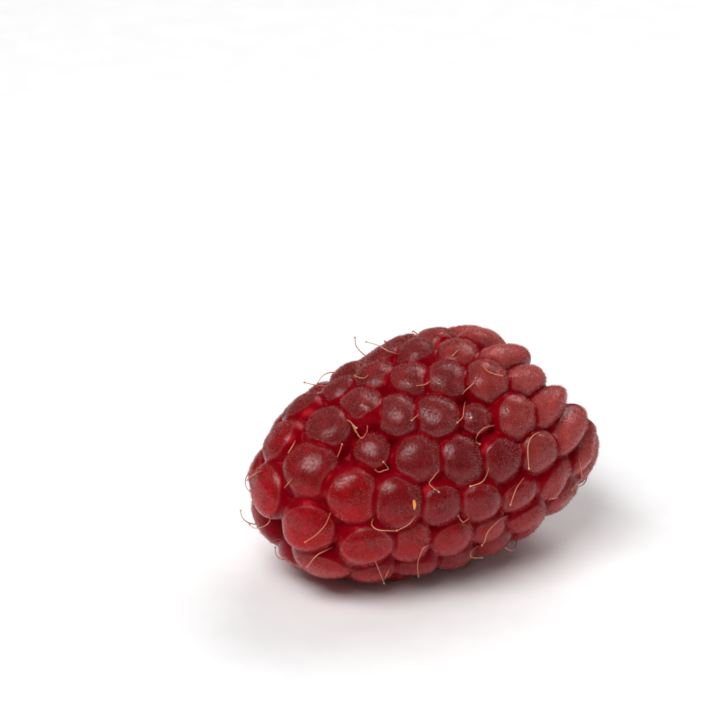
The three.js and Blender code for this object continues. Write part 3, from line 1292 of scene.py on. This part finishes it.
@dataclass(frozen=True)
class View:
    """The place that the berry is looked at from. Angles are degrees, pixels are of a square frame."""

    azimuth: float = -28.26
    elevation: float = 25.8
    distance: float = 0.36
    pixels_per_mm: float = 12.915
    frame_pixels: float = 720.0
    sensor: float = 36.0
    clip: Span = (0.01, 20.0)
    anchor: Span = (279.5, 502.4)  # pixel at which the tip of the middle line shows

    def directions(self) -> tuple[Vector, Vector, Vector]:
        """Directions to the right of the frame, up it and back to the viewer."""
        turn = math.radians(self.azimuth)
        back = bearing(self.azimuth, self.elevation)
        right = Vector((math.cos(turn), math.sin(turn), 0.0))
        return right, back.cross(right), back

    def eye(self, tip: Vector) -> Vector:
        """The camera's place.

        Args:
            tip: the point of the berry that shows at the anchor.

        Returns:
            Its place, in metres.
        """
        right, up, back = self.directions()
        half = self.frame_pixels / 2
        scale = METRES / self.pixels_per_mm
        aside = (self.anchor[0] - half) * scale
        above = (half - self.anchor[1]) * scale
        return tip - aside * right - above * up + self.distance * back

    def ray(self, tip: Vector, pixel: Span) -> tuple[Vector, Vector]:
        """The line of sight through a pixel.

        Args:
            tip: the point of the berry that shows at the anchor.
            pixel: the pixel.

        Returns:
            The camera's place and the direction of sight.
        """
        right, up, back = self.directions()
        half = self.frame_pixels / 2
        scale = METRES / self.pixels_per_mm
        sight = -self.distance * back + (pixel[0] - half) * scale * right + (half - pixel[1]) * scale * up
        return self.eye(tip), sight.normalized()

    def place_camera(self, tip: Vector) -> None:
        """Makes the camera.

        Args:
            tip: the point of the berry that shows at the anchor.
        """
        data = bpy.data.cameras.new("camera")
        data.sensor_width = self.sensor
        data.lens = self.sensor * self.distance / (self.frame_pixels / self.pixels_per_mm * METRES)
        data.clip_start, data.clip_end = self.clip
        camera = bpy.data.objects.new("camera", data)
        camera.location = self.eye(tip)
        _, _, back = self.directions()
        camera.rotation_euler = back.to_track_quat("Z", "Y").to_euler()
        bpy.context.scene.collection.objects.link(camera)
        bpy.context.scene.camera = camera


@dataclass(frozen=True)
class Stroke:
    """A dried style drawn by where it shows in the frame: from its root to its knob, in pixels.

    Its lift is how far it stands off the skin on the way, in millimetres.
    """

    points: tuple[Span, ...]
    lift: float = 0.35
    knob: float = 1.0


STROKES: tuple[Stroke, ...] = (
    Stroke(((370, 359), (362, 353), (356, 346), (355, 338.5)), 1.2),
    Stroke(((398, 354), (389, 353.5), (380, 349.5), (367, 342)), 1.0),
    Stroke(((327, 386), (314, 384.7), (305.4, 382.7)), 0.6),
    Stroke(((355, 373.5), (361, 380), (367, 384), (377, 386), (385.8, 386.7)), 0.45),
    Stroke(((369, 374), (366, 378.5), (361, 379), (356.5, 376.5)), 0.5, 0.3),
    Stroke(
        ((367.5, 424), (366.5, 433), (362.9, 439.5), (357, 434), (352, 426.5), (352.5, 423), (356.5, 426)),
        0.6,
    ),
    Stroke(((345.6, 419.4), (350, 423), (354.5, 431)), 0.4, 0.4),
    Stroke(((461, 394.5), (467, 389), (473.6, 383.8)), 0.3, 0.5),
    Stroke(((465.5, 401.5), (464.3, 410), (461, 417), (456.3, 422)), 0.4),
    Stroke(((472, 421), (471, 419)), 0.9, 1.3),
    Stroke(((419, 413.6), (411.6, 420)), 0.25),
    Stroke(((495, 425.5), (484, 427.5), (477, 434), (475.6, 440), (477.4, 445.2)), 0.45),
    Stroke(((440, 467.5), (432.5, 476.5), (429.5, 485), (437.6, 491.7)), 0.5),
    Stroke(((490, 465.3), (485.6, 477), (480, 484), (470.6, 484.8)), 0.5),
    Stroke(((525.2, 476), (517, 486.5), (513, 495), (510.3, 502.5)), 0.4),
    Stroke(((543, 432.5), (533, 436), (528.6, 444), (528, 455), (528.7, 466)), 0.5),
    Stroke(((469.5, 518), (463, 522.3), (460.2, 521), (460, 515.2)), 0.45, 1.2),
    Stroke(((508, 515.8), (499, 519.2), (487, 530.5), (484.4, 538), (482, 542.2)), 0.55),
    Stroke(((478.5, 545.6), (470.5, 550), (468.8, 555.4), (482, 554.8)), 0.6),
    Stroke(((430, 544), (422, 547.5), (417.3, 560), (418.4, 576)), 0.6, 0.7),
    Stroke(((578, 456), (579.5, 466), (582, 476.5)), 0.4, 0.5),
    Stroke(((581, 478.5), (576, 482.5), (571.5, 488.2)), 0.35),
    Stroke(((432, 380), (424, 385), (417, 386)), 0.35, 0.5),
    Stroke(((461, 350), (457, 352), (453, 355.9)), 0.3, 0.6),
    Stroke(((480.5, 364.5), (487.4, 372), (494, 375), (501, 376.6)), 0.35, 0.6),
    Stroke(((330.5, 512.3), (325.4, 523.8), (317.3, 533), (307, 539.9)), 0.6),
    Stroke(((333.4, 546.8), (325.4, 548.5), (317.3, 554.8), (309.3, 564)), 0.6),
    Stroke(((373.6, 518), (371.3, 525), (375.9, 530.1), (385, 531), (393.7, 531.3)), 0.6),
    Stroke(((416, 514.6), (409, 522), (397.7, 527.8)), 0.5),
    Stroke(((269.5, 512), (270.5, 519), (266, 525), (258, 526.5), (250, 525)), 0.8),
    Stroke(((281, 538), (273, 538.7)), 0.8),
    Stroke(((374.2, 558.3), (378.2, 568.6), (382.8, 579.5)), 0.7),
    Stroke(((389.7, 565.7), (387, 570), (383.9, 575.5)), 0.5, 0.4),
    Stroke(((295.5, 440), (293.5, 447), (289.8, 453.8)), 0.4, 0.5),
    Stroke(((264, 470), (255, 475.5), (246, 481)), 0.5, 0.6),
    Stroke(((292.5, 478), (290, 482), (286.5, 486.5)), 0.4, 0.5),
    Stroke(((337, 458), (339, 451), (340.9, 444.6)), 0.5),
    Stroke(((374, 468), (378, 471.5), (385, 471), (387, 467), (383, 462)), 0.5),
    Stroke(((546.3, 500.5), (550.5, 497.5), (555.5, 496.3)), 0.4, 0.4),
)

SCRAP = Stroke(((413.0, 499.5), (414.2, 504), (413.9, 509.5)), 0.12)


def tube(path: np.ndarray, radii: np.ndarray, sides: int) -> tuple[np.ndarray, np.ndarray, np.ndarray]:
    """A round tube along a path, closed at both ends.

    Args:
        path: points of its middle.
        radii: its radius at each point.
        sides: how many sides it has, an even number.

    Returns:
        Its vertices, its faces and the share of the path that each vertex lies at.
    """
    steps = np.gradient(path, axis=0)
    steps /= np.maximum(lengths(steps), TINY)
    side = np.cross(steps[0], np.eye(3)[np.argmin(np.abs(steps[0]))])
    rings = []
    for point, step, radius in zip(path, steps, radii):
        side = side - step * (side @ step)
        side /= np.linalg.norm(side)
        other = np.cross(step, side)
        turns = np.arange(sides) * 2 * math.pi / sides
        rings.append(point + radius * (np.cos(turns)[:, None] * side + np.sin(turns)[:, None] * other))
    first = np.arange(len(path) - 1)[:, None] * sides
    here = first + np.arange(sides)
    there = first + (np.arange(sides) + 1) % sides
    faces = np.stack([here, there, there + sides, here + sides], -1).reshape(-1, 4)
    cap = np.array([(0, k, k + 1, k + 2) for k in range(1, sides - 1, 2)])
    faces = np.concatenate([cap[:, ::-1], faces, cap + (len(path) - 1) * sides])
    share = np.repeat(np.linspace(0, 1, len(path)), sides)
    return np.concatenate(rings), faces, share


@dataclass
class Bundle:
    """Gathers many small tubes into one mesh."""

    points: list[np.ndarray] = field(default_factory=list)
    faces: list[np.ndarray] = field(default_factory=list)
    along: list[np.ndarray] = field(default_factory=list)
    tones: list[np.ndarray] = field(default_factory=list)
    total: int = 0

    def add(self, made: tuple[np.ndarray, np.ndarray, np.ndarray], tone: float) -> None:
        """Adds one tube.

        Args:
            made: its vertices, faces and shares.
            tone: its own tone, from 0 to 1.
        """
        points, faces, share = made
        self.points.append(points)
        self.faces.append(faces + self.total)
        self.along.append(share)
        self.tones.append(np.full(len(points), tone))
        self.total += len(points)

    def build(self, name: str, material: bpy.types.Material) -> bpy.types.Object:
        """Makes the gathered tubes one object.

        Args:
            name: name of the object.
            material: its material.

        Returns:
            The object.
        """
        piece = mesh_object(name, np.concatenate(self.points) * METRES, np.concatenate(self.faces))
        point_values(piece, "along", np.concatenate(self.along))
        point_values(piece, "tone", np.concatenate(self.tones))
        piece.data.materials.append(material)
        return piece


def curve_through(points: np.ndarray, steps: int) -> np.ndarray:
    """A smooth curve through points.

    Args:
        points: the points.
        steps: steps between one and the next.

    Returns:
        The curve's points.
    """
    ends = np.concatenate([[2 * points[0] - points[1]], points, [2 * points[-1] - points[-2]]])
    t = (np.arange(steps) / steps)[:, None]
    pieces = []
    for a, b, c, d in zip(ends, ends[1:], ends[2:], ends[3:]):
        square, cube = 2 * a - 5 * b + 4 * c - d, 3 * b - a - 3 * c + d
        pieces.append(0.5 * (2 * b + (c - a) * t + square * t**2 + cube * t**3))
    return np.concatenate([*pieces, points[-1:]])


@dataclass
class Styles:
    """The dried styles, some drawn and the rest grown by the rule. Sizes are millimetres."""

    field: FleshField
    flesh: bpy.types.Object
    view: View
    tip: Vector
    radius: float = 0.042
    knob_radius: float = 0.085
    sink: float = 0.12  # how far a root sits in the flesh
    clearance: float = 0.02  # between a style and the skin
    kept: float = 0.62  # share of the drupelets on the far side that still have theirs
    reach: Span = (1.3, 2.9)
    jump: float = 2.5  # step in depth past which a drawn style has left the berry
    outward: float = 0.4  # part of a drawn style's lift along the skin's normal
    sightward: float = 0.6  # and towards the viewer
    arch: float = 1.3  # how soon a drawn style has its full lift
    drawn_steps: int = 6
    rounds: int = 3
    aside: float = 0.5  # how far a root strays round a dome, over its half size
    tipward: Span = (0.35, 0.3)  # how far towards the tip it sits: the least, and the spread
    swing: float = 150.0  # degrees over which headings spread
    rises: Span = (62.0, 37.0)  # degrees off the skin at the root
    falls: Span = (75.0, 135.0)  # degrees that a style curls over
    grown_steps: int = 12
    root_girth: float = 1.25
    taper: float = 0.5
    knob_heights: tuple[float, ...] = (0.35, 0.9, 1.5, 1.9, 2.05)
    knob_girths: tuple[float, ...] = (0.8, 1.0, 0.85, 0.5, 0.06)
    scrap_places: tuple[float, ...] = (0.0, 0.2, 0.5, 0.8, 1.0)
    scrap_radii: tuple[float, ...] = (0.04, 0.11, 0.14, 0.11, 0.03)
    scrap_sides: int = 8
    scrap_tone: float = 0.2
    sides: int = 6
    seed: int = 31

    def __post_init__(self) -> None:
        """Prepares the flesh for touching and the random draws."""
        mesh = self.flesh.data
        self.skin = BVHTree.FromPolygons(
            [vertex.co[:] for vertex in mesh.vertices], [face.vertices[:] for face in mesh.polygons]
        )
        self.random = np.random.default_rng(self.seed)

    def build(self) -> bpy.types.Object:
        """Builds all styles.

        Returns:
            The styles as one object.
        """
        bundle = Bundle()
        for stroke in STROKES:
            path = self.drawn(stroke)
            if path is not None:
                bundle.add(self.thread(path, stroke.knob), self.random.uniform(0, 1))
        _, _, back = self.view.directions()
        drupelets = self.field.drupelets
        for number in range(len(drupelets)):
            draws = self.random.uniform(0, 1, 7)
            seen = float(drupelets.out[number] @ np.array(back)) > 0.0
            if draws[0] < self.kept and not seen:
                bundle.add(self.thread(self.grown(number, draws), 1.0), draws[6])
        return bundle.build("dried_styles", DriedStyle().material())

    def scrap(self) -> bpy.types.Object:
        """Builds the scrap of an anther that has stuck between two drupelets.

        Returns:
            The scrap.
        """
        path = self.drawn(SCRAP)
        radii = np.interp(np.linspace(0, 1, len(path)), self.scrap_places, self.scrap_radii)
        bundle = Bundle()
        bundle.add(tube(path, radii, self.scrap_sides), self.scrap_tone)
        return bundle.build("anther_scrap", DRIED_ANTHER.material())

    def above(self, point: np.ndarray, lift: float) -> np.ndarray:
        """The point at least a lift above the skin.

        Args:
            point: a point, in millimetres.
            lift: the least height, in millimetres.

        Returns:
            The point, moved out if it was lower.
        """
        place, normal, _, distance = self.skin.find_nearest(Vector(point * METRES))
        height = distance / METRES * (1 if (Vector(point * METRES) - place).dot(normal) >= 0 else -1)
        return point if height >= lift else np.array(place) / METRES + np.array(normal) * lift

    def drawn(self, stroke: Stroke) -> np.ndarray | None:
        """The path of a style that is drawn in the frame.

        Args:
            stroke: where it shows.

        Returns:
            Its path in millimetres, or nothing where its root misses the berry.
        """
        found = []
        depth = None
        for number, pixel in enumerate(stroke.points):
            eye, sight = self.view.ray(self.tip, pixel)
            place, normal, _, distance = self.skin.ray_cast(eye, sight)
            if place is None and depth is None:
                return None
            share = number / (len(stroke.points) - 1)
            lift = stroke.lift * math.sin(min(1.0, self.arch * share) * math.pi / 2) if number else -self.sink
            if place is not None and (depth is None or abs(distance - depth) < self.jump * METRES):
                depth = distance
                out, back = normal * self.outward * lift * METRES, sight * self.sightward * lift * METRES
                point = np.array(place + out - back)
            else:
                point = np.array(eye + sight * depth)
            under = self.knob_radius * METRES - point[2]
            found.append((point + np.array(sight) * max(0.0, under) / sight.z) / METRES)
        return self.laid(curve_through(np.array(found), self.drawn_steps))

    def laid(self, path: np.ndarray) -> np.ndarray:
        """Lays a path smoothly over the skin.

        Args:
            path: the path, which starts in the flesh.

        Returns:
            The path, clear of the skin from its third point on.
        """
        low = self.radius + self.clearance
        path = path.copy()
        for _ in range(self.rounds):
            path[2:] = [self.above(point, low) for point in path[2:]]
            path[1:-1] = (path[:-2] + 2 * path[1:-1] + path[2:]) / 4
        path[2:] = [self.above(point, low) for point in path[2:]]
        apart = lengths(np.diff(path, axis=0))[:, 0] > self.radius / 2
        return path[np.concatenate([[True], apart])]

    def grown(self, number: int, draws: np.ndarray) -> np.ndarray:
        """The path of a style that grows by the rule: out of a dome, leaning towards the tip, curling over.

        Args:
            number: its drupelet.
            draws: random numbers from 0 to 1, of which it uses the second to the sixth.

        Returns:
            Its path in millimetres.
        """
        drupelets = self.field.drupelets
        around, out, along = drupelets.axes[number]
        half = drupelets.half[number]
        aside, ahead = self.aside * (draws[1] - 0.5), -varied(self.tipward, draws[2])
        guess = drupelets.centre[number] + around * aside * half[0] + along * ahead * half[2] + out * half[1]
        place, normal, _, _ = self.skin.find_nearest(Vector(guess * METRES))
        root, normal = np.array(place) / METRES, np.array(normal)
        swing = math.radians(self.swing * (draws[3] - 0.5))
        heading = -along * math.cos(swing) + around * math.sin(swing)
        heading -= normal * (heading @ normal)
        heading /= np.linalg.norm(heading)
        reach = between(self.reach, draws[4])
        rise, fall = math.radians(between(self.rises, draws[5])), math.radians(between(self.falls, draws[1]))
        steps = self.grown_steps
        points = [root - normal * self.sink]
        for step in range(steps):
            angle = rise - fall * step / steps
            points.append(points[-1] + (heading * math.cos(angle) + normal * math.sin(angle)) * reach / steps)
        return self.laid(np.array(points))

    def thread(self, path: np.ndarray, knob: float) -> tuple[np.ndarray, np.ndarray, np.ndarray]:
        """One style along a path, thinner towards its end, with its knob.

        Args:
            path: its path, in millimetres.
            knob: size of its knob over the usual.

        Returns:
            Its vertices, faces and shares.
        """
        steps = np.concatenate([[0], np.cumsum(lengths(np.diff(path, axis=0))[:, 0])])
        last = (path[-1] - path[-2]) / max(np.linalg.norm(path[-1] - path[-2]), TINY)
        size = max(self.knob_radius * knob, self.radius)
        heights = np.array(self.knob_heights) * size
        radii = self.radius * (self.root_girth - self.taper * steps / steps[-1])
        radii = np.concatenate([radii, np.array(self.knob_girths) * size])
        middle = np.concatenate([path, path[-1] + heights[:, None] * last])
        middle[:, 2] = np.maximum(middle[:, 2], radii)
        return tube(middle, radii, self.sides)


@dataclass
class Strands:
    """Torn ends of the strands that held the core: pale points in the hollow. Sizes are millimetres."""

    field: FleshField
    length: Span = (0.25, 0.8)
    radius: float = 0.16
    sink: float = 0.2
    lean: float = 1.1  # towards the mouth, over inwards
    leans: Span = (0.6, 0.8)  # how much of that lean each has: the least, and the spread
    stray: Span = (1.2, 0.3)  # along the berry and around it
    bend: float = 0.25
    girths: Span = (0.75, 1.25)
    profile: tuple[float, ...] = (1.5, 1.3, 1.1, 0.9, 0.75, 0.55, 0.1)
    sides: int = 8
    seed: int = 47

    def build(self) -> bpy.types.Object:
        """Builds the strand ends.

        Returns:
            The strand ends as one object.
        """
        random = np.random.default_rng(self.seed)
        pads = self.field.pads
        bundle = Bundle()
        for number in range(len(pads)):
            draws = random.uniform(0, 1, 5)
            around, out, along = pads.axes[number]
            long = between(self.length, draws[0])
            top = pads.centre[number] - out * pads.half[number][1]
            top = top + along * (draws[1] - 0.5) * self.stray[0] + around * (draws[2] - 0.5) * self.stray[1]
            heading = -out + along * self.lean * varied(self.leans, draws[3])
            heading /= np.linalg.norm(heading)
            t = np.linspace(0, 1, len(self.profile))[:, None]
            bend = along * self.bend * t**2 * long
            path = top - heading * self.sink + heading * (long + self.sink) * t + bend
            radii = self.radius * between(self.girths, draws[4]) * np.array(self.profile)
            bundle.add(tube(path, radii, self.sides), draws[4])
        return bundle.build("torn_strands", PaleFlesh().material())


@dataclass(frozen=True)
class DownHair:
    """Very fine hair, some of it pale and some red."""

    pale: Colour = (0.62, 0.20, 0.185, 1.0)
    red: Colour = (0.15, 0.004, 0.006, 1.0)
    redder: Ramp = (0.35, 0.5, 0.0, 1.0)

    def material(self) -> bpy.types.Material:
        """Makes the material.

        Returns:
            The material of the down.
        """
        board = NodeBoard("down_hair")
        colour = board.mix(board.span(board.value("tone"), *self.redder), self.pale, self.red)
        shader = board.add("BsdfPrincipled", None, Base_Color=colour, Roughness=0.4, Specular_IOR_Level=0.35)
        return board.finish(shader)


@dataclass
class Down:
    """Short down all over the outside of the drupelets. Sizes are millimetres."""

    flesh: bpy.types.Object
    count: int = 190000
    length: Span = (0.09, 0.21)
    width: float = 0.019
    lean: float = 0.4
    clumps: float = 3.2  # how quickly the down thickens and thins from place to place
    clump_waves: int = 6
    clump_steps: Span = (-0.35, 0.35)
    clump_shares: Span = (0.35, 1.3)  # the least down, and the spread
    lowest: float = 0.25  # height over the ground from which there is down
    open_gaps: Span = (0.1, 0.22)  # gap from the creases over which the down sets in
    shaded: float = 0.22  # down on the underside, over that on top
    upward: Span = (-0.4, 0.6)  # how far a face looks up, from the underside to the top
    leans: Span = (0.3, 1.0)  # how much of the lean each hair has
    sink: float = 0.01
    mouth_tone: float = 0.5  # how much more of the down is pale round the mouth
    seed: int = 59

    def build(self) -> bpy.types.Object:
        """Builds the down, one thin triangle for each hair.

        Returns:
            The down as one object.
        """
        random = np.random.default_rng(self.seed)
        points, normals, quads = self.surface()
        chance = self.chance(random, points, normals, quads)
        chosen = random.choice(len(quads), self.count, p=chance / chance.sum())
        weights = random.dirichlet(np.ones(4), self.count)
        root = np.einsum("nk,nkx->nx", weights, points[quads[chosen]])
        normal = np.einsum("nk,nkx->nx", weights, normals[quads[chosen]])
        hairs = self.hairs(random, root, normal / lengths(normal))
        faces = np.arange(self.count * 3).reshape(-1, 3)
        piece = mesh_object("berry_down", hairs.reshape(-1, 3) * METRES, faces)
        mouth = self.stored("mouth", len(points))[quads[chosen, 0]]
        tone = random.uniform(0, 1, self.count) * (1 - self.mouth_tone * mouth)
        point_values(piece, "tone", np.repeat(tone, 3))
        piece.data.materials.append(DownHair().material())
        return piece

    def surface(self) -> tuple[np.ndarray, np.ndarray, np.ndarray]:
        """Reads the flesh.

        Returns:
            Its vertices in millimetres, their normals, and four vertex numbers for each face.
        """
        mesh = self.flesh.data
        points = np.zeros(len(mesh.vertices) * 3, np.float32)
        normals = np.zeros(len(mesh.vertices) * 3, np.float32)
        corners = np.zeros(len(mesh.loops), np.int32)
        mesh.vertices.foreach_get("co", points)
        mesh.vertices.foreach_get("normal", normals)
        mesh.loops.foreach_get("vertex_index", corners)
        points = points.reshape(-1, 3).astype(float) / METRES
        return points, normals.reshape(-1, 3).astype(float), corners.reshape(-1, 4)

    def chance(
        self, random: np.random.Generator, points: np.ndarray, normals: np.ndarray, quads: np.ndarray
    ) -> np.ndarray:
        """How likely a hair is to stand on each face: none in creases, in the hollow or by the ground.

        Args:
            random: draws where the down is thicker.
            points: vertices of the flesh.
            normals: their normals.
            quads: four vertex numbers for each face.

        Returns:
            A number for each face.
        """
        count = len(points)
        gap, zone, pale = (self.stored(name, count)[quads].mean(1) for name in ("gap", "zone", "paleness"))
        first = points[quads[:, 2]] - points[quads[:, 0]]
        second = points[quads[:, 3]] - points[quads[:, 1]]
        area = lengths(np.cross(first, second))[:, 0]
        middle = points[quads].mean(1)
        share = smooth(gap, *self.open_gaps) * (1 - zone)
        share = share * (middle[:, 2] > self.lowest)
        facing_up = smooth(normals[quads][:, :, 2].mean(1), *self.upward)
        share = share * (self.shaded + (1 - self.shaded) * facing_up)
        share = share * (1 + pale)
        waves = random.normal(0, self.clumps, (3, self.clump_waves))
        swing = middle @ waves + random.uniform(0, 2 * math.pi, self.clump_waves)
        thickness = smooth(np.sin(swing).mean(1), *self.clump_steps)
        return area * (share * varied(self.clump_shares, thickness))

    def hairs(self, random: np.random.Generator, root: np.ndarray, normal: np.ndarray) -> np.ndarray:
        """The hairs themselves.

        Args:
            random: draws how they lean, turn and how long they are.
            root: where each stands, in millimetres.
            normal: the skin's direction there.

        Returns:
            Three corners for each hair.
        """
        wild = random.normal(0, 1, (self.count, 3))
        wild -= normal * (wild * normal).sum(-1, keepdims=True)
        heading = normal + self.lean * wild * random.uniform(*self.leans, (self.count, 1))
        heading /= lengths(heading)
        side = np.cross(heading, random.normal(0, 1, (self.count, 3)))
        side *= self.width / 2 / lengths(side)
        tall = random.uniform(*self.length, (self.count, 1))
        below = self.sink * normal
        return np.stack([root - side - below, root + side - below, root + heading * tall], 1)

    def stored(self, name: str, count: int) -> np.ndarray:
        """Numbers that the flesh stores at its vertices.

        Args:
            name: what they are stored as.
            count: how many vertices it has.

        Returns:
            The numbers.
        """
        values = np.zeros(count, np.float32)
        self.flesh.data.attributes[name].data.foreach_get("value", values)
        return values


@dataclass(frozen=True)
class Softbox:
    """A soft area light: where it stands as seen from the berry, its size and its power."""

    name: str
    azimuth: float
    elevation: float
    distance: float
    width: float
    height: float
    power: float
    colour: tuple[float, float, float] = (1.0, 1.0, 1.0)

    def place(self, target: Vector) -> None:
        """Sets the light up.

        Args:
            target: the point that it shines at.
        """
        data = bpy.data.lights.new(self.name, "AREA")
        data.shape = "RECTANGLE"
        data.size, data.size_y = self.width, self.height
        data.energy, data.color = self.power, self.colour
        back = bearing(self.azimuth, self.elevation)
        lamp = bpy.data.objects.new(self.name, data)
        lamp.location = target + self.distance * back
        lamp.rotation_euler = back.to_track_quat("Z", "Y").to_euler()
        bpy.context.scene.collection.objects.link(lamp)


@dataclass(frozen=True)
class Studio:
    """The pale floor, the lights and the sky."""

    floor_size: float = 3.0
    backdrop: float = 0.8  # how pale the studio shows beyond the floor
    paper: Colour = (0.92, 0.92, 0.92, 1.0)
    paper_grain: Colour = (0.90, 0.90, 0.90, 1.0)
    grain_scale: float = 300.0  # waves in a metre
    grain: Ramp = (0.3, 0.7, 0.0, 1.0)
    far_glow: Ramp = (0.12, 0.75, 0.0, 0.66)  # of the floor, by its distance from the berry in metres
    white: Colour = (1.0, 1.0, 1.0, 1.0)
    sky_glow: Ramp = (0.0, 0.9, 0.015, 0.23)  # from the horizon to overhead
    boxes: tuple[Softbox, ...] = (
        Softbox("key", -62.0, 57.0, 0.45, 0.33, 0.23, 1.9),
        Softbox("strip", 42.0, 22.0, 0.5, 0.07, 0.32, 0.2),
        Softbox("back", 120.0, 45.0, 0.6, 0.5, 0.3, 1.9),
    )

    def build(self, target: Vector) -> None:
        """Builds the studio.

        Args:
            target: the point that the lights shine at.
        """
        half = self.floor_size / 2
        corners = np.array([(-half, -half, 0), (half, -half, 0), (half, half, 0), (-half, half, 0)], float)
        floor = mesh_object("floor", corners, np.array([[0, 1, 2, 3]]))
        board = NodeBoard("floor_paper")
        grain = board.span(board.noise(self.grain_scale, 2.0, 0.5), *self.grain)
        place = board.add("NewGeometry").outputs["Position"]
        apart = board.add("VectorMath", {"operation": "LENGTH"}, Vector=place).outputs["Value"]
        shader = board.add(
            "BsdfPrincipled",
            None,
            Base_Color=board.mix(grain, self.paper, self.paper_grain),
            Roughness=0.7,
            Specular_IOR_Level=0.2,
            Emission_Color=self.white,
            Emission_Strength=board.span(apart, *self.far_glow),
        )
        floor.data.materials.append(board.finish(shader))
        for box in self.boxes:
            box.place(target)
        self.sky()

    def sky(self) -> None:
        """Fills the studio with soft light, paler overhead than at the horizon."""
        world = bpy.data.worlds.new("studio")
        bpy.context.scene.world = world
        world.use_nodes = True
        nodes, links = world.node_tree.nodes, world.node_tree.links
        background = nodes["Background"]
        place = nodes.new("ShaderNodeTexCoord")
        split = nodes.new("ShaderNodeSeparateXYZ")
        ramp = nodes.new("ShaderNodeMapRange")
        ramp.interpolation_type = "SMOOTHSTEP"
        links.new(place.outputs["Generated"], split.inputs[0])
        links.new(split.outputs["Z"], ramp.inputs[0])
        for socket, number in zip(list(ramp.inputs)[1:5], self.sky_glow):
            socket.default_value = number
        background.inputs["Color"].default_value = self.white
        bpy.context.scene.view_settings.view_transform = "Standard"
        seen = nodes.new("ShaderNodeLightPath")
        pick = nodes.new("ShaderNodeMix")
        links.new(seen.outputs["Is Camera Ray"], pick.inputs[0])
        links.new(ramp.outputs[0], pick.inputs[2])
        pick.inputs[3].default_value = self.backdrop
        links.new(pick.outputs[0], background.inputs["Strength"])


def dress(piece: bpy.types.Object) -> None:
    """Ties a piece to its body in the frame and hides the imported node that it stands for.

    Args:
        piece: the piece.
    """
    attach(piece, BODY)
    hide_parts(NODE)
    faces = sum(len(face.vertices) - 2 for face in piece.data.polygons)
    log.info("%s: %d triangles", piece.name, faces)


def main() -> None:
    """Builds the berry's pieces, the studio and the camera."""
    rule = GrowingRule()
    drupelets, shift = rule.grown()
    low, high = (np.array(corner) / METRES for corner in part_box(NODE))
    log.info("%d drupelets; packed box %s to %s", len(drupelets), low.round(3), high.round(3))
    flesh_field = FleshField(rule, drupelets, shift, Hollow(rule.line))
    flesh = Flesh(flesh_field).build()
    dress(flesh)
    tip = Vector(shift * METRES)
    view = View()
    styles = Styles(flesh_field, flesh, view, tip)
    dress(styles.build())
    dress(styles.scrap())
    dress(Strands(flesh_field).build())
    dress(Down(flesh).build())
    Studio().build(Vector(LIT_POINT))
    view.place_camera(tip)


if __name__ == "__main__":
    logging.basicConfig(level=logging.INFO, format="%(message)s")
    main()
